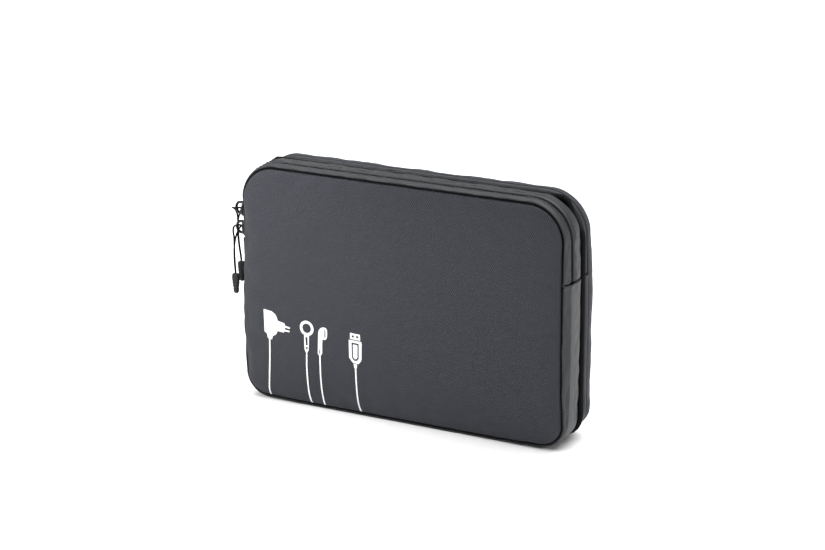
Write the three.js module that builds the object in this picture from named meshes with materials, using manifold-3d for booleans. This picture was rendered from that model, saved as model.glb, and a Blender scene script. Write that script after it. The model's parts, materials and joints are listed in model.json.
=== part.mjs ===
// Cable organizer pouch: a zipped front compartment and a zipped, round-backed rear
// compartment, sewn back to back through a stiff divider. Millimetres, +Z up.
// X runs along the pouch, the front panel faces -Y, and the pouch stands on z = 0.
import * as THREE from 'three';
import { mergeVertices } from 'three/addons/utils/BufferGeometryUtils.js';
import Module from 'manifold-3d';

// ---- Driving dimensions ---------------------------------------------------
const BODY_WIDTH = 244;
const BODY_HEIGHT = 170;
const BODY_DEPTH = 48;
const TOP_RADIUS = 27;
const BOTTOM_RADIUS = 17;
const CORNER_STEPS = 8;

const GAP = 0.3; // clearance between pieces that touch
const FOLD_Z = 116; // both zips end here, so the panels fold open about this line

const FRONT_Y = -BODY_DEPTH / 2;
const REAR_Y = BODY_DEPTH / 2;
const GUSSET_WALL = 1.6;

const PANEL_INSET = 2.2; // the front panel's edge lies inside the gusset's
const PANEL_FABRIC = 0.9;
const FOAM = 2;
const LINING = 0.5;
const WELT_WIDTH = 1.4;

const FRONT_ZIP_Y = -14.2;
const FRONT_BACK_Y = 1; // where the front compartment meets the divider
const REAR_START_Y = 4.4;
const REAR_ZIP_Y = 8.25;
const COIL_WIDTH = 1.3;
const COIL_DEPTH = 1.1;
const COIL_INSET = 0.5;

const BACK_ROUNDING = 14;
const BACK_WALL = 1.8;
const BACK_STEPS = 6;

const DIVIDER_INSET = 3.4;
const DIVIDER_COVER = 0.6;

const POCKET_WIDTH = 200;
const POCKET_BOTTOM = 12;
const POCKET_TOP = 92;
const POCKET_DEPTH = 6;
const POCKET_WALL = 0.8;
const HEM_HEIGHT = 8;
const HEM_WALL = 1.2;

const LOOP_COUNT = 5;
const LOOP_SPAN = 30;
const LOOP_REST = 10; // stitched length between two loops
const LOOP_RISE = 6;
const LOOP_WALL = 1;
const LOOP_BOTTOM = 112;
const LOOP_WEBBING = 22;

const SLIDER_LENGTH = 11;
const SLIDER_WIDTH = 8;
const SLIDER_NOSE = 5.4;
const SLIDER_THICKNESS = 3.6;
const SLIDER_BEVEL = 0.5;
const CROWN_LENGTH = 9.4;
const CROWN_RISE = 7;
const CROWN_BAR = 1.6;
const CROWN_WIDTH = 2;
const CROWN_CORNER = 2.4;
const CROWN_STEPS = 4;

const CORD_DIAMETER = 1.3;
const CORD_SIDES = 8;
const CORD_STEP = 2.5 * CORD_DIAMETER;
const TIP_LENGTH = 15;
const TIP_TOP = 5.6;
const TIP_BOTTOM = 3.6;
const TIP_THICKNESS = 3.4;
const TIP_BEVEL = 0.6;

const wasm = await Module();
wasm.setup();

// ---- Materials ------------------------------------------------------------
const cloth = (color, roughness = 0.75) =>
  new THREE.MeshStandardMaterial({ color, roughness, metalness: 0 });
const panelCloth = () => cloth(0x55565a, 0.62);
const gussetCloth = () => cloth(0x4b4c50, 0.55);
const blackTape = () => cloth(0x17171a, 0.8);
const liningCloth = () => cloth(0x2c2d31, 0.7);
const foamSheet = () => cloth(0x3c3c3c, 0.95);
const netCloth = () => cloth(0x222225, 0.85);
const boardSheet = () => cloth(0x1c1c1c, 0.6);
const sliderPaint = () =>
  new THREE.MeshStandardMaterial({ color: 0x0d0d0e, roughness: 0.35, metalness: 0.6 });
const softPlastic = () => cloth(0x101011, 0.5);

// ---- Outlines in the X-Z plane --------------------------------------------
const point = (x, z) => new THREE.Vector2(x, z);

function corner(centreX, centreZ, radius, fromDegrees) {
  const points = [];
  for (let step = 0; step <= CORNER_STEPS; step += 1) {
    const angle = THREE.MathUtils.degToRad(fromDegrees + (90 * step) / CORNER_STEPS);
    points.push(point(centreX + radius * Math.cos(angle), centreZ + radius * Math.sin(angle)));
  }
  return points;
}

// The outline above the fold: up the right side, over the top, down the left side.
function arch(inset) {
  const side = BODY_WIDTH / 2 - inset;
  const radius = TOP_RADIUS - inset;
  const centreZ = BODY_HEIGHT - TOP_RADIUS;
  const foot = FOLD_Z + GAP;
  return [
    point(side, foot),
    ...corner(side - radius, centreZ, radius, 0),
    ...corner(radius - side, centreZ, radius, 90),
    point(-side, foot),
  ];
}

// The outline below the fold: down the left side, along the base, up the right side.
function trough(inset) {
  const side = BODY_WIDTH / 2 - inset;
  const radius = BOTTOM_RADIUS - inset;
  return [
    point(-side, FOLD_Z),
    ...corner(radius - side, BOTTOM_RADIUS, radius, 180),
    ...corner(side - radius, BOTTOM_RADIUS, radius, 270),
    point(side, FOLD_Z),
  ];
}

const fullOutline = (inset) => [...arch(inset).slice(1, -1), ...trough(inset).slice(1, -1)];

const bandShape = (half, outerInset, innerInset) =>
  new THREE.Shape([...half(outerInset), ...half(innerInset).reverse()]);

// ---- Solids ---------------------------------------------------------------
function node(name, geometry, material) {
  const mesh = new THREE.Mesh(geometry, material);
  mesh.name = name;
  return mesh;
}

// A flat piece cut to an X-Z shape, from yFront back to yBack.
function sheet(name, shape, yFront, yBack, material) {
  const geometry = new THREE.ExtrudeGeometry(shape, { depth: yBack - yFront, bevelEnabled: false });
  const mesh = node(name, geometry, material);
  mesh.rotation.x = Math.PI / 2;
  mesh.position.y = yBack;
  return mesh;
}

function toSolid(geometry) {
  const bare = geometry.clone();
  bare.deleteAttribute('normal');
  bare.deleteAttribute('uv');
  const merged = mergeVertices(bare, 1e-4);
  return new wasm.Manifold(new wasm.Mesh({
    numProp: 3,
    vertProperties: new Float32Array(merged.attributes.position.array),
    triVerts: new Uint32Array(merged.index.array),
  }));
}

function toGeometry(solid) {
  const mesh = solid.getMesh();
  const geometry = new THREE.BufferGeometry();
  geometry.setAttribute('position', new THREE.BufferAttribute(mesh.vertProperties, 3));
  geometry.setIndex(new THREE.BufferAttribute(mesh.triVerts, 1));
  geometry.computeVertexNormals();
  return geometry;
}

function block(xSize, ySize, zSize, centre) {
  const geometry = new THREE.BoxGeometry(xSize, ySize, zSize);
  geometry.translate(...centre);
  return toSolid(geometry);
}

// ---- Front compartment ----------------------------------------------------
function frontCompartment() {
  const group = new THREE.Group();
  const foamY = FRONT_Y + PANEL_FABRIC + GAP;
  const liningY = foamY + FOAM + GAP;
  const gussetY = liningY + LINING + GAP;
  const weltInset = PANEL_INSET - GAP - WELT_WIDTH;
  const coilInner = COIL_INSET + COIL_DEPTH;
  const halves = [['lower', trough], ['flap', arch]];

  for (const [half, outline] of halves) {
    const panel = new THREE.Shape(outline(PANEL_INSET));
    const inside = new THREE.Shape(outline(PANEL_INSET + GUSSET_WALL));
    const welt = bandShape(outline, weltInset, weltInset + WELT_WIDTH);
    group.add(
      sheet(`front_panel_${half}`, panel, FRONT_Y, FRONT_Y + PANEL_FABRIC, panelCloth()),
      sheet(`front_foam_${half}`, inside, foamY, foamY + FOAM, foamSheet()),
      sheet(`front_lining_${half}`, inside, liningY, liningY + LINING, liningCloth()),
      sheet(`front_welt_${half}`, welt, FRONT_Y + GAP, gussetY - GAP, blackTape()),
    );
  }

  const lowerGusset = bandShape(trough, 0, GUSSET_WALL);
  const zipStrip = bandShape(arch, 0, GUSSET_WALL);
  const coil = bandShape(arch, COIL_INSET, coilInner);
  const coilFront = FRONT_ZIP_Y - GAP / 2 - COIL_WIDTH;
  const coilBack = FRONT_ZIP_Y + GAP / 2 + COIL_WIDTH;
  group.add(
    sheet('front_gusset_lower', lowerGusset, gussetY, FRONT_BACK_Y, gussetCloth()),
    sheet('front_zip_strip_flap', zipStrip, gussetY, coilFront - GAP, gussetCloth()),
    sheet('front_zip_strip_body', zipStrip, coilBack + GAP, FRONT_BACK_Y, gussetCloth()),
    sheet('front_zip_coil_flap', coil, coilFront, FRONT_ZIP_Y - GAP / 2, blackTape()),
    sheet('front_zip_coil_body', coil, FRONT_ZIP_Y + GAP / 2, coilBack, blackTape()),
  );
  return group;
}

// ---- Rear compartment -----------------------------------------------------
// The back panel is one dished shell: flat in the middle, rounded into the zip all round.
function roundedBack(inset, backY) {
  const rounding = BACK_ROUNDING - inset;
  const shape = new THREE.Shape(fullOutline(BACK_ROUNDING));
  const geometry = new THREE.ExtrudeGeometry(shape, {
    depth: BACK_ROUNDING,
    bevelThickness: rounding,
    bevelSize: rounding,
    bevelSegments: BACK_STEPS,
  });
  geometry.rotateX(Math.PI / 2);
  geometry.translate(0, backY - rounding, 0);
  return toSolid(geometry);
}

function rearCompartment() {
  const group = new THREE.Group();
  const coilInner = COIL_INSET + COIL_DEPTH;
  const coilFront = REAR_ZIP_Y - GAP / 2 - COIL_WIDTH;
  const coilBack = REAR_ZIP_Y + GAP / 2 + COIL_WIDTH;
  const dishY = coilBack + GAP;
  const reach = 2 * BODY_WIDTH;

  const shell = roundedBack(0, REAR_Y).subtract(roundedBack(BACK_WALL, REAR_Y - BACK_WALL));
  const behindZip = block(reach, reach, reach, [0, dishY + reach / 2, 0]);
  const dish = shell.intersect(behindZip);
  const aboveFold = block(reach, reach, reach, [0, 0, FOLD_Z + GAP + reach / 2]);
  const belowFold = block(reach, reach, reach, [0, 0, FOLD_Z - reach / 2]);

  const coilBand = () => bandShape(arch, COIL_INSET, coilInner);
  group.add(
    node('rear_panel_flap', toGeometry(dish.intersect(aboveFold)), panelCloth()),
    node('rear_panel_lower', toGeometry(dish.intersect(belowFold)), panelCloth()),
    sheet('rear_gusset_lower', bandShape(trough, 0, GUSSET_WALL), REAR_START_Y, coilBack, gussetCloth()),
    sheet('rear_zip_strip', bandShape(arch, 0, GUSSET_WALL), REAR_START_Y, coilFront - GAP, gussetCloth()),
    sheet('rear_zip_coil_body', coilBand(), coilFront, REAR_ZIP_Y - GAP / 2, blackTape()),
    sheet('rear_zip_coil_flap', coilBand(), REAR_ZIP_Y + GAP / 2, coilBack, blackTape()),
  );
  return group;
}

// ---- Divider and what is sewn to it ---------------------------------------
function divider() {
  const group = new THREE.Group();
  const shape = () => new THREE.Shape(fullOutline(DIVIDER_INSET));
  const frontY = FRONT_BACK_Y + GAP;
  const boardY = frontY + DIVIDER_COVER + GAP;
  const rearY = REAR_START_Y - GAP - DIVIDER_COVER;
  group.add(
    sheet('divider_front_cover', shape(), frontY, frontY + DIVIDER_COVER, liningCloth()),
    sheet('divider_board', shape(), boardY, rearY - GAP, boardSheet()),
    sheet('divider_rear_cover', shape(), rearY, rearY + DIVIDER_COVER, liningCloth()),
  );
  return group;
}

// An open-topped net pocket, its sides and floor turned back to the divider.
function netPocket() {
  const group = new THREE.Group();
  const height = POCKET_TOP - POCKET_BOTTOM;
  const backY = FRONT_BACK_Y;
  const frontY = backY - POCKET_DEPTH;
  const middleZ = (POCKET_TOP + POCKET_BOTTOM) / 2;
  const middleY = (frontY + backY) / 2;
  const outer = block(POCKET_WIDTH, POCKET_DEPTH, height, [0, middleY, middleZ]);
  const inner = block(POCKET_WIDTH - 2 * POCKET_WALL, POCKET_DEPTH, height,
    [0, middleY + POCKET_WALL, middleZ + POCKET_WALL]);
  const hem = new THREE.BoxGeometry(POCKET_WIDTH, HEM_WALL, HEM_HEIGHT);
  hem.translate(0, frontY - GAP - HEM_WALL / 2, POCKET_TOP - HEM_HEIGHT / 2);
  group.add(
    node('net_pocket', toGeometry(outer.subtract(inner)), netCloth()),
    node('net_pocket_hem', hem, blackTape()),
  );
  return group;
}

// One length of elastic webbing, stitched flat between the loops that hold the cables.
function elasticLoops() {
  const pitch = LOOP_SPAN + LOOP_REST;
  const length = LOOP_COUNT * pitch + LOOP_REST;
  const startX = -length / 2;
  const outer = [];
  const inner = [];
  for (let loop = 0; loop < LOOP_COUNT; loop += 1) {
    const left = startX + LOOP_REST + loop * pitch;
    const right = left + LOOP_SPAN;
    const shoulder = LOOP_RISE / 2;
    outer.push(point(left, LOOP_WALL), point(left + LOOP_WALL, LOOP_RISE + LOOP_WALL - shoulder));
    outer.push(point(left + shoulder + LOOP_WALL, LOOP_RISE + LOOP_WALL));
    outer.push(point(right - shoulder - LOOP_WALL, LOOP_RISE + LOOP_WALL));
    outer.push(point(right - LOOP_WALL, LOOP_RISE + LOOP_WALL - shoulder), point(right, LOOP_WALL));
    inner.push(point(left + LOOP_WALL, 0), point(left + 2 * LOOP_WALL, LOOP_RISE - shoulder));
    inner.push(point(left + shoulder + 2 * LOOP_WALL, LOOP_RISE));
    inner.push(point(right - shoulder - 2 * LOOP_WALL, LOOP_RISE));
    inner.push(point(right - 2 * LOOP_WALL, LOOP_RISE - shoulder), point(right - LOOP_WALL, 0));
  }
  const shape = new THREE.Shape([
    point(startX, 0),
    point(startX, LOOP_WALL),
    ...outer,
    point(startX + length, LOOP_WALL),
    point(startX + length, 0),
    ...inner.reverse(),
  ]);
  const geometry = new THREE.ExtrudeGeometry(shape, { depth: LOOP_WEBBING, bevelEnabled: false });
  const mesh = node('elastic_loop_band', geometry, blackTape());
  mesh.rotation.x = Math.PI;
  mesh.position.set(0, FRONT_BACK_Y, LOOP_BOTTOM + LOOP_WEBBING);
  return mesh;
}

// ---- Zip sliders and their cord pulls --------------------------------------
// A crown's side view: up one leg, along the bar and down the other leg.
function crownOutline(halfLength, rise, radius) {
  const points = [point(halfLength, 0)];
  for (let step = 0; step <= CROWN_STEPS; step += 1) {
    const angle = (Math.PI / 2) * (step / CROWN_STEPS);
    points.push(point(
      halfLength - radius + radius * Math.cos(angle),
      rise - radius + radius * Math.sin(angle),
    ));
  }
  return [...points, ...points.map(({ x, y }) => point(-x, y)).reverse()];
}

// A slider stands on the left side of the gusset, its crown pointing to -X. It is drawn
// with its nose to +Z, and `flip` turns the nose down.
function slider(name, y, middleZ, flip) {
  const half = SLIDER_LENGTH / 2;
  const housing = new THREE.Shape([
    point(-SLIDER_NOSE / 2, -half),
    point(SLIDER_NOSE / 2, -half),
    point(SLIDER_WIDTH / 2, half - SLIDER_WIDTH / 4),
    point(SLIDER_WIDTH / 4, half),
    point(-SLIDER_WIDTH / 4, half),
    point(-SLIDER_WIDTH / 2, half - SLIDER_WIDTH / 4),
  ]);
  const plate = new THREE.ExtrudeGeometry(housing, {
    depth: SLIDER_THICKNESS - 2 * SLIDER_BEVEL,
    bevelThickness: SLIDER_BEVEL,
    bevelSize: SLIDER_BEVEL,
    bevelOffset: -SLIDER_BEVEL,
    bevelSegments: 1,
  });
  plate.translate(0, 0, SLIDER_BEVEL);

  const bow = crownOutline(CROWN_LENGTH / 2, CROWN_RISE, CROWN_CORNER);
  const hole = crownOutline(CROWN_LENGTH / 2 - CROWN_BAR, CROWN_RISE - CROWN_BAR, CROWN_CORNER - CROWN_BAR);
  bow.push(...hole.reverse());
  const crown = new THREE.ExtrudeGeometry(new THREE.Shape(bow), { depth: CROWN_WIDTH, bevelEnabled: false });
  crown.translate(0, 0, -CROWN_WIDTH / 2);
  crown.rotateX(Math.PI / 2);
  crown.rotateZ(Math.PI / 2);
  crown.translate(0, 0, SLIDER_THICKNESS - SLIDER_BEVEL);

  const mesh = node(name, toGeometry(toSolid(plate).add(toSolid(crown))), sliderPaint());
  const frame = new THREE.Matrix4().makeBasis(
    new THREE.Vector3(0, flip ? 1 : -1, 0),
    new THREE.Vector3(0, 0, flip ? -1 : 1),
    new THREE.Vector3(-1, 0, 0),
  );
  mesh.quaternion.setFromRotationMatrix(frame);
  mesh.position.set(-BODY_WIDTH / 2 - GAP, y, middleZ);
  return mesh;
}

// Each cord is doubled: up from its tip, round the crown's bar, and down again.
const FRONT_LOWER_CORD = [
  [-132.1, -17.4, 87.1], [-132.3, -17.7, 93], [-132.4, -17.8, 100], [-132.1, -17.8, 106.5],
  [-131, -17.7, 112.5], [-129.7, -17.1, 116.8], [-129, -16.1, 119.3], [-128.75, -14.2, 120.4],
  [-129.54, -12.29, 120.6], [-131.45, -11.5, 120.6], [-133.36, -12.29, 120.3],
  [-134.15, -14.2, 119.7], [-133.8, -15.9, 117.6], [-133, -16.4, 113], [-133.1, -16.3, 106.5],
  [-133.2, -16.2, 100], [-133.1, -16.1, 93], [-132.9, -15.9, 87.1],
];
const FRONT_UPPER_CORD = [
  [-131.4, -10.5, 94.2], [-131.9, -10.5, 98.5], [-132.7, -10.5, 104.6], [-133.3, -10.5, 111],
  [-133.3, -10.4, 119], [-132.6, -10.3, 125.6], [-130.8, -10.5, 130], [-129.1, -11.8, 133],
  [-128.75, -14.2, 134.2], [-129.54, -16.11, 134.4], [-131.45, -16.9, 134.4],
  [-133.36, -16.11, 134.1], [-134.15, -14.2, 133.5], [-134.1, -11.9, 131.6], [-134, -9.9, 128],
  [-134.1, -9, 123], [-134.1, -8.9, 117], [-134, -9, 111], [-133.5, -9, 104.6],
  [-132.7, -9, 98.5], [-132.2, -9, 94.2],
];
const REAR_CORD = [
  [-131, 13, 88], [-130.5, 13.4, 96], [-130.2, 13.6, 104], [-130.6, 13.1, 110.5],
  [-130.6, 12, 115.2], [-129.1, 10.7, 118.2], [-128.75, 8.25, 119.4], [-129.54, 6.34, 119.6],
  [-131.45, 5.55, 119.6], [-133.36, 6.34, 119.3], [-134.15, 8.25, 118.7], [-134.1, 10.6, 116.8],
  [-133.8, 12.5, 113.2], [-133.3, 13.3, 108], [-132.7, 13.6, 102], [-132.5, 13.4, 95],
  [-132.6, 13, 88],
];

function cord(name, route) {
  const path = new THREE.CatmullRomCurve3(route.map((place) => new THREE.Vector3(...place)));
  const section = new THREE.Shape();
  section.absarc(0, 0, CORD_DIAMETER / 2, 0, 2 * Math.PI);
  const geometry = new THREE.ExtrudeGeometry(section, {
    steps: Math.round(path.getLength() / CORD_STEP),
    curveSegments: CORD_SIDES,
    extrudePath: path,
  });
  return node(name, geometry, blackTape());
}

// A moulded tip, hanging just under the two ends of its cord.
function tip(name, route) {
  const first = new THREE.Vector3(...route[0]);
  const last = new THREE.Vector3(...route[route.length - 1]);
  const top = first.add(last).multiplyScalar(0.5);
  const side = new THREE.Shape([
    point(-TIP_TOP / 2, 0),
    point(-TIP_BOTTOM / 2, -TIP_LENGTH),
    point(TIP_BOTTOM / 2, -TIP_LENGTH),
    point(TIP_TOP / 2, 0),
  ]);
  const mesh = node(name, new THREE.ExtrudeGeometry(side, {
    depth: TIP_THICKNESS - 2 * TIP_BEVEL,
    bevelThickness: TIP_BEVEL,
    bevelSize: TIP_BEVEL,
    bevelOffset: -TIP_BEVEL,
    bevelSegments: 1,
  }), softPlastic());
  mesh.rotation.x = Math.PI / 2;
  mesh.position.set(top.x, top.y + TIP_THICKNESS / 2 - TIP_BEVEL, top.z - GAP);
  return mesh;
}

function pull(name, route) {
  const group = new THREE.Group();
  group.add(cord(`${name}_cord`, route), tip(`${name}_tip`, route));
  return group;
}

// ---- Assembly --------------------------------------------------------------
const pouch = new THREE.Group();
pouch.add(
  frontCompartment(),
  rearCompartment(),
  divider(),
  netPocket(),
  elasticLoops(),
  slider('front_lower_slider', FRONT_ZIP_Y, 120.5, false),
  slider('front_upper_slider', FRONT_ZIP_Y, 134.3, true),
  slider('rear_slider', REAR_ZIP_Y, 119.5, false),
  pull('front_lower_pull', FRONT_LOWER_CORD),
  pull('front_upper_pull', FRONT_UPPER_CORD),
  pull('rear_pull', REAR_CORD),
);

export default pouch;
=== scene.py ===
"""Looks of the cable organizer pouch: sewn cloth, zips, cord pulls and printed pictograms.

Everything is in metres in the CAD frame: X along the pouch, the front panel facing -Y, +Z up.
The cloth is made as rings round the pouch's outline, puffed by a cloth simulation between
its seams, and then settled as the filled pouch settles on a table.
"""
import json
import math

import bpy
from mathutils import Matrix, Vector, noise
from mathutils.bvhtree import BVHTree

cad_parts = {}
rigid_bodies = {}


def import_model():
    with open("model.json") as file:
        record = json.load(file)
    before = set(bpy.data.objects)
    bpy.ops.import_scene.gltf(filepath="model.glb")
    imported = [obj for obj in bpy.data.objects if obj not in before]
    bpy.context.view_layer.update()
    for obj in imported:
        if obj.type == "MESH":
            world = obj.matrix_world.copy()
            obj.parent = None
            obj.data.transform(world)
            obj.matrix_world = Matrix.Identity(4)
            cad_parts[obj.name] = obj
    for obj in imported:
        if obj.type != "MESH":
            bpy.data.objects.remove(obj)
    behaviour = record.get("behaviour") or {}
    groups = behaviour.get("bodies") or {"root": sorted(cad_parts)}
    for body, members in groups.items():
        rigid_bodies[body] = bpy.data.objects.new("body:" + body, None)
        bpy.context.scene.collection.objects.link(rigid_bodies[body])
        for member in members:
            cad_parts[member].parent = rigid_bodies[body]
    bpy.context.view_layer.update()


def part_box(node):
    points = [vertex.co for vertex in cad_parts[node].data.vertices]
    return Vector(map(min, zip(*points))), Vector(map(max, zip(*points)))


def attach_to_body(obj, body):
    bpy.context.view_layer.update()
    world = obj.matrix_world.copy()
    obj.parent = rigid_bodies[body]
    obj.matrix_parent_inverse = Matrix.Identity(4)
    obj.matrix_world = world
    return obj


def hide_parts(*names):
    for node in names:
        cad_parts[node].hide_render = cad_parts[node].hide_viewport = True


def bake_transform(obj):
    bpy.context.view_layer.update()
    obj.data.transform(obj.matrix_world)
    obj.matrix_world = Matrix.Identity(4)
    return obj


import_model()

MM = 0.001

# ---- Sizes read from the frame ----
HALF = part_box("front_gusset_lower")[1].x
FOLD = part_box("front_gusset_lower")[1].z
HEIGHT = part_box("front_zip_strip_body")[1].z
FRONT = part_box("front_panel_lower")[0].y
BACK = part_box("rear_panel_lower")[1].y
LINING_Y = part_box("front_lining_lower")[1].y
FOAM_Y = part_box("front_foam_lower")[0].y
GROOVE_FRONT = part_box("front_gusset_lower")[1].y
GROOVE_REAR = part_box("rear_gusset_lower")[0].y
FRONT_ZIP = (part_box("front_zip_coil_flap")[1].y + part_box("front_zip_coil_body")[0].y) / 2
REAR_ZIP = (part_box("rear_zip_coil_body")[1].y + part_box("rear_zip_coil_flap")[0].y) / 2
DIVIDER_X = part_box("divider_board")[1].x
DIVIDER_INSET = HALF - DIVIDER_X
PANEL_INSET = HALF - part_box("front_panel_lower")[1].x
TOP_RADIUS = 27 * MM
BOTTOM_RADIUS = 17 * MM
BACK_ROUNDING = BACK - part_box("rear_panel_lower")[0].y + 0.1 * MM
REAR_START = (GROOVE_FRONT + GROOVE_REAR) / 2  # the middle of the groove
GRID_INSET = 14 * MM  # from the outline to the edge of a flat face's grid
CLOTH = 0.7 * MM

# ---- Camera ----
AZIMUTH = math.radians(28.2)
ELEVATION = math.radians(18.6)
ROLL = math.radians(-0.52)
DISTANCE = 1.5
LENS = 96.5
AIM_UP = 14 * MM
AIM_LEFT = 1.1 * MM


def add_camera():
    back = Vector((
        math.sin(AZIMUTH) * math.cos(ELEVATION),
        -math.cos(AZIMUTH) * math.cos(ELEVATION),
        math.sin(ELEVATION),
    ))
    right = Vector((math.cos(AZIMUTH), math.sin(AZIMUTH), 0))
    up = back.cross(right)
    centre = Vector((0, 0, HEIGHT / 2))
    data = bpy.data.cameras.new("camera")
    data.lens = LENS
    camera = linked("camera", data)
    camera.location = centre + back * DISTANCE
    aim = centre + up * AIM_UP - right * AIM_LEFT
    camera.rotation_mode = "QUATERNION"
    look = (aim - camera.location).to_track_quat("-Z", "Y")
    roll = Matrix.Rotation(ROLL, 3, "Z").to_quaternion()
    camera.rotation_quaternion = look @ roll
    bpy.context.scene.camera = camera


# ---- Small helpers ----
def smooth(low, high, value):
    t = min(1.0, max(0.0, (value - low) / (high - low)))
    return t * t * (3 - 2 * t)


def linked(name, data):
    """A new object in the scene that shows the data."""
    obj = bpy.data.objects.new(name, data)
    bpy.context.scene.collection.objects.link(obj)
    return obj


def new_object(name, vertices, faces, material, uvs=None):
    mesh = bpy.data.meshes.new(name)
    mesh.from_pydata([tuple(v) for v in vertices], [], faces)
    if uvs is not None:
        layer = mesh.uv_layers.new(name="weave")
        for loop in mesh.loops:
            layer.data[loop.index].uv = uvs[loop.vertex_index]
    mesh.materials.append(material)
    mesh.shade_smooth()
    mesh.update()
    return linked(name, mesh)


def thicken(obj, thickness, levels=1, offset=-1.0):
    solid = obj.modifiers.new("thickness", "SOLIDIFY")
    solid.thickness = thickness
    solid.offset = offset
    solid.use_even_offset = True
    if levels:
        surface = obj.modifiers.new("surface", "SUBSURF")
        surface.levels = levels
        surface.render_levels = levels


def riding(body):
    """A way to carry a piece: it moves with one body."""
    return lambda piece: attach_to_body(piece, body)


def bending(y):
    """A way to carry a piece: its place is baked into its mesh, and it does not bend with a flap. y,
    the fold line, is not used.
    """
    return lambda piece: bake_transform(piece)


ON_ROOT = riding("root")
ON_FRONT_FLAP = bending(FRONT)
ON_REAR_FLAP = bending(BACK)


def attach(piece, carry, slot, *nodes):
    """Carries a piece and hides the CAD nodes that it stands for; slot is not used."""
    carry(piece)
    if nodes:
        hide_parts(*nodes)


# ---- Materials ----
class Nodes:
    """A material's node tree, with short ways to add and join nodes."""

    def __init__(self, name, colour, roughness, metallic=0.0, sheen=0.0, coat=0.0, specular=0.5):
        self.material = bpy.data.materials.new(name)
        self.material.use_nodes = True
        self.tree = self.material.node_tree
        self.shader = self.tree.nodes["Principled BSDF"]
        self.set("Base Color", (*colour, 1))
        self.set("Roughness", roughness)
        self.set("Metallic", metallic)
        self.set("Sheen Weight", sheen)
        self.set("Sheen Roughness", 0.4)
        self.set("Coat Weight", coat)
        self.set("Coat Roughness", 0.25)
        self.set("Specular IOR Level", specular)

    def set(self, socket, value):
        self.shader.inputs[socket].default_value = value

    def add(self, kind, **settings):
        made = self.tree.nodes.new(kind)
        for key, value in settings.items():
            setattr(made, key, value)
        return made

    def join(self, source, target):
        self.tree.links.new(source, target)

    def math(self, operation, a, b=None, c=None):
        made = self.add("ShaderNodeMath", operation=operation)
        for slot, value in enumerate((a, b, c)):
            if value is None:
                continue
            if isinstance(value, (int, float)):
                made.inputs[slot].default_value = value
            else:
                self.join(value, made.inputs[slot])
        return made.outputs[0]

    def weighted(self, *parts):
        """The sum of some values, each times its weight."""
        total = 0.0
        for value, weight in parts:
            total = self.math("MULTIPLY_ADD", value, weight, total)
        return total

    def uv(self):
        split = self.add("ShaderNodeSeparateXYZ")
        self.join(self.add("ShaderNodeUVMap", uv_map="weave").outputs[0], split.inputs[0])
        return split.outputs[0], split.outputs[1]

    def place(self):
        return self.add("ShaderNodeTexCoord").outputs["Object"]

    def noise(self, scale, detail=3.0):
        made = self.add("ShaderNodeTexNoise")
        made.inputs["Scale"].default_value = scale
        made.inputs["Detail"].default_value = detail
        self.join(self.place(), made.inputs["Vector"])
        return made.outputs["Fac"]

    def ramp(self, value, dark, light, low=0.3, high=0.7):
        made = self.add("ShaderNodeValToRGB")
        for element, place, colour in zip(made.color_ramp.elements, (low, high), (dark, light)):
            element.position = place
            element.color = (*colour, 1)
        self.join(value, made.inputs[0])
        self.join(made.outputs[0], self.shader.inputs["Base Color"])

    def rough(self, value, low, high):
        made = self.add("ShaderNodeMapRange")
        made.inputs["To Min"].default_value = low
        made.inputs["To Max"].default_value = high
        self.join(value, made.inputs["Value"])
        self.join(made.outputs[0], self.shader.inputs["Roughness"])

    def bump(self, height, distance, strength=1.0):
        made = self.add("ShaderNodeBump")
        made.inputs["Distance"].default_value = distance
        made.inputs["Strength"].default_value = strength
        self.join(height, made.inputs["Height"])
        before = self.shader.inputs["Normal"].links
        if before:
            self.join(before[0].from_socket, made.inputs["Normal"])
        self.join(made.outputs[0], self.shader.inputs["Normal"])


def wave(nodes, value, pitch):
    """A sine of a length in metres, from 0 to 1."""
    turn = nodes.math("MULTIPLY", value, 2 * math.pi / pitch)
    return nodes.math("MULTIPLY_ADD", nodes.math("SINE", turn), 0.5, 0.5)


def coated_twill(name, dark, light, pitch, depth, roughness):
    """Coated cloth with a fine diagonal rib, crossed by a fainter one."""
    nodes = Nodes(name, light, roughness, sheen=0.04, specular=0.27)
    u, v = nodes.uv()
    rise = nodes.math("MULTIPLY", v, 0.62)
    rib = wave(nodes, nodes.math("ADD", u, rise), pitch)
    cross = wave(nodes, nodes.math("SUBTRACT", u, nodes.math("MULTIPLY", v, 1.35)), pitch * 1.15)
    weave = nodes.math("MULTIPLY", rib, nodes.math("MULTIPLY_ADD", cross, 0.55, 0.45))
    cloud = nodes.noise(9, 4)
    grain = nodes.noise(900, 2)
    nodes.ramp(nodes.weighted((weave, 0.6), (cloud, 0.3), (grain, 0.1)), dark, light, 0.2, 0.75)
    nodes.rough(nodes.weighted((weave, 0.5), (cloud, 0.5)), roughness - 0.08, roughness + 0.1)
    nodes.bump(weave, depth)
    nodes.bump(cloud, 0.6 * MM, 0.35)
    nodes.bump(grain, 0.015 * MM, 0.4)
    return nodes.material


def plain_weave(name, dark, light, pitch, depth, roughness, sheen=0.0):
    """Over-and-under weave of tape, webbing and lining."""
    nodes = Nodes(name, light, roughness, sheen=sheen, specular=0.15)
    u, v = nodes.uv()
    along = wave(nodes, u, pitch)
    across = wave(nodes, v, pitch)
    over = nodes.math("ABSOLUTE", nodes.math("SUBTRACT", along, across))
    nodes.ramp(nodes.weighted((over, 0.4), (nodes.noise(60), 0.6)), dark, light, 0.2, 0.8)
    nodes.bump(over, depth)
    return nodes.material


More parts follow.
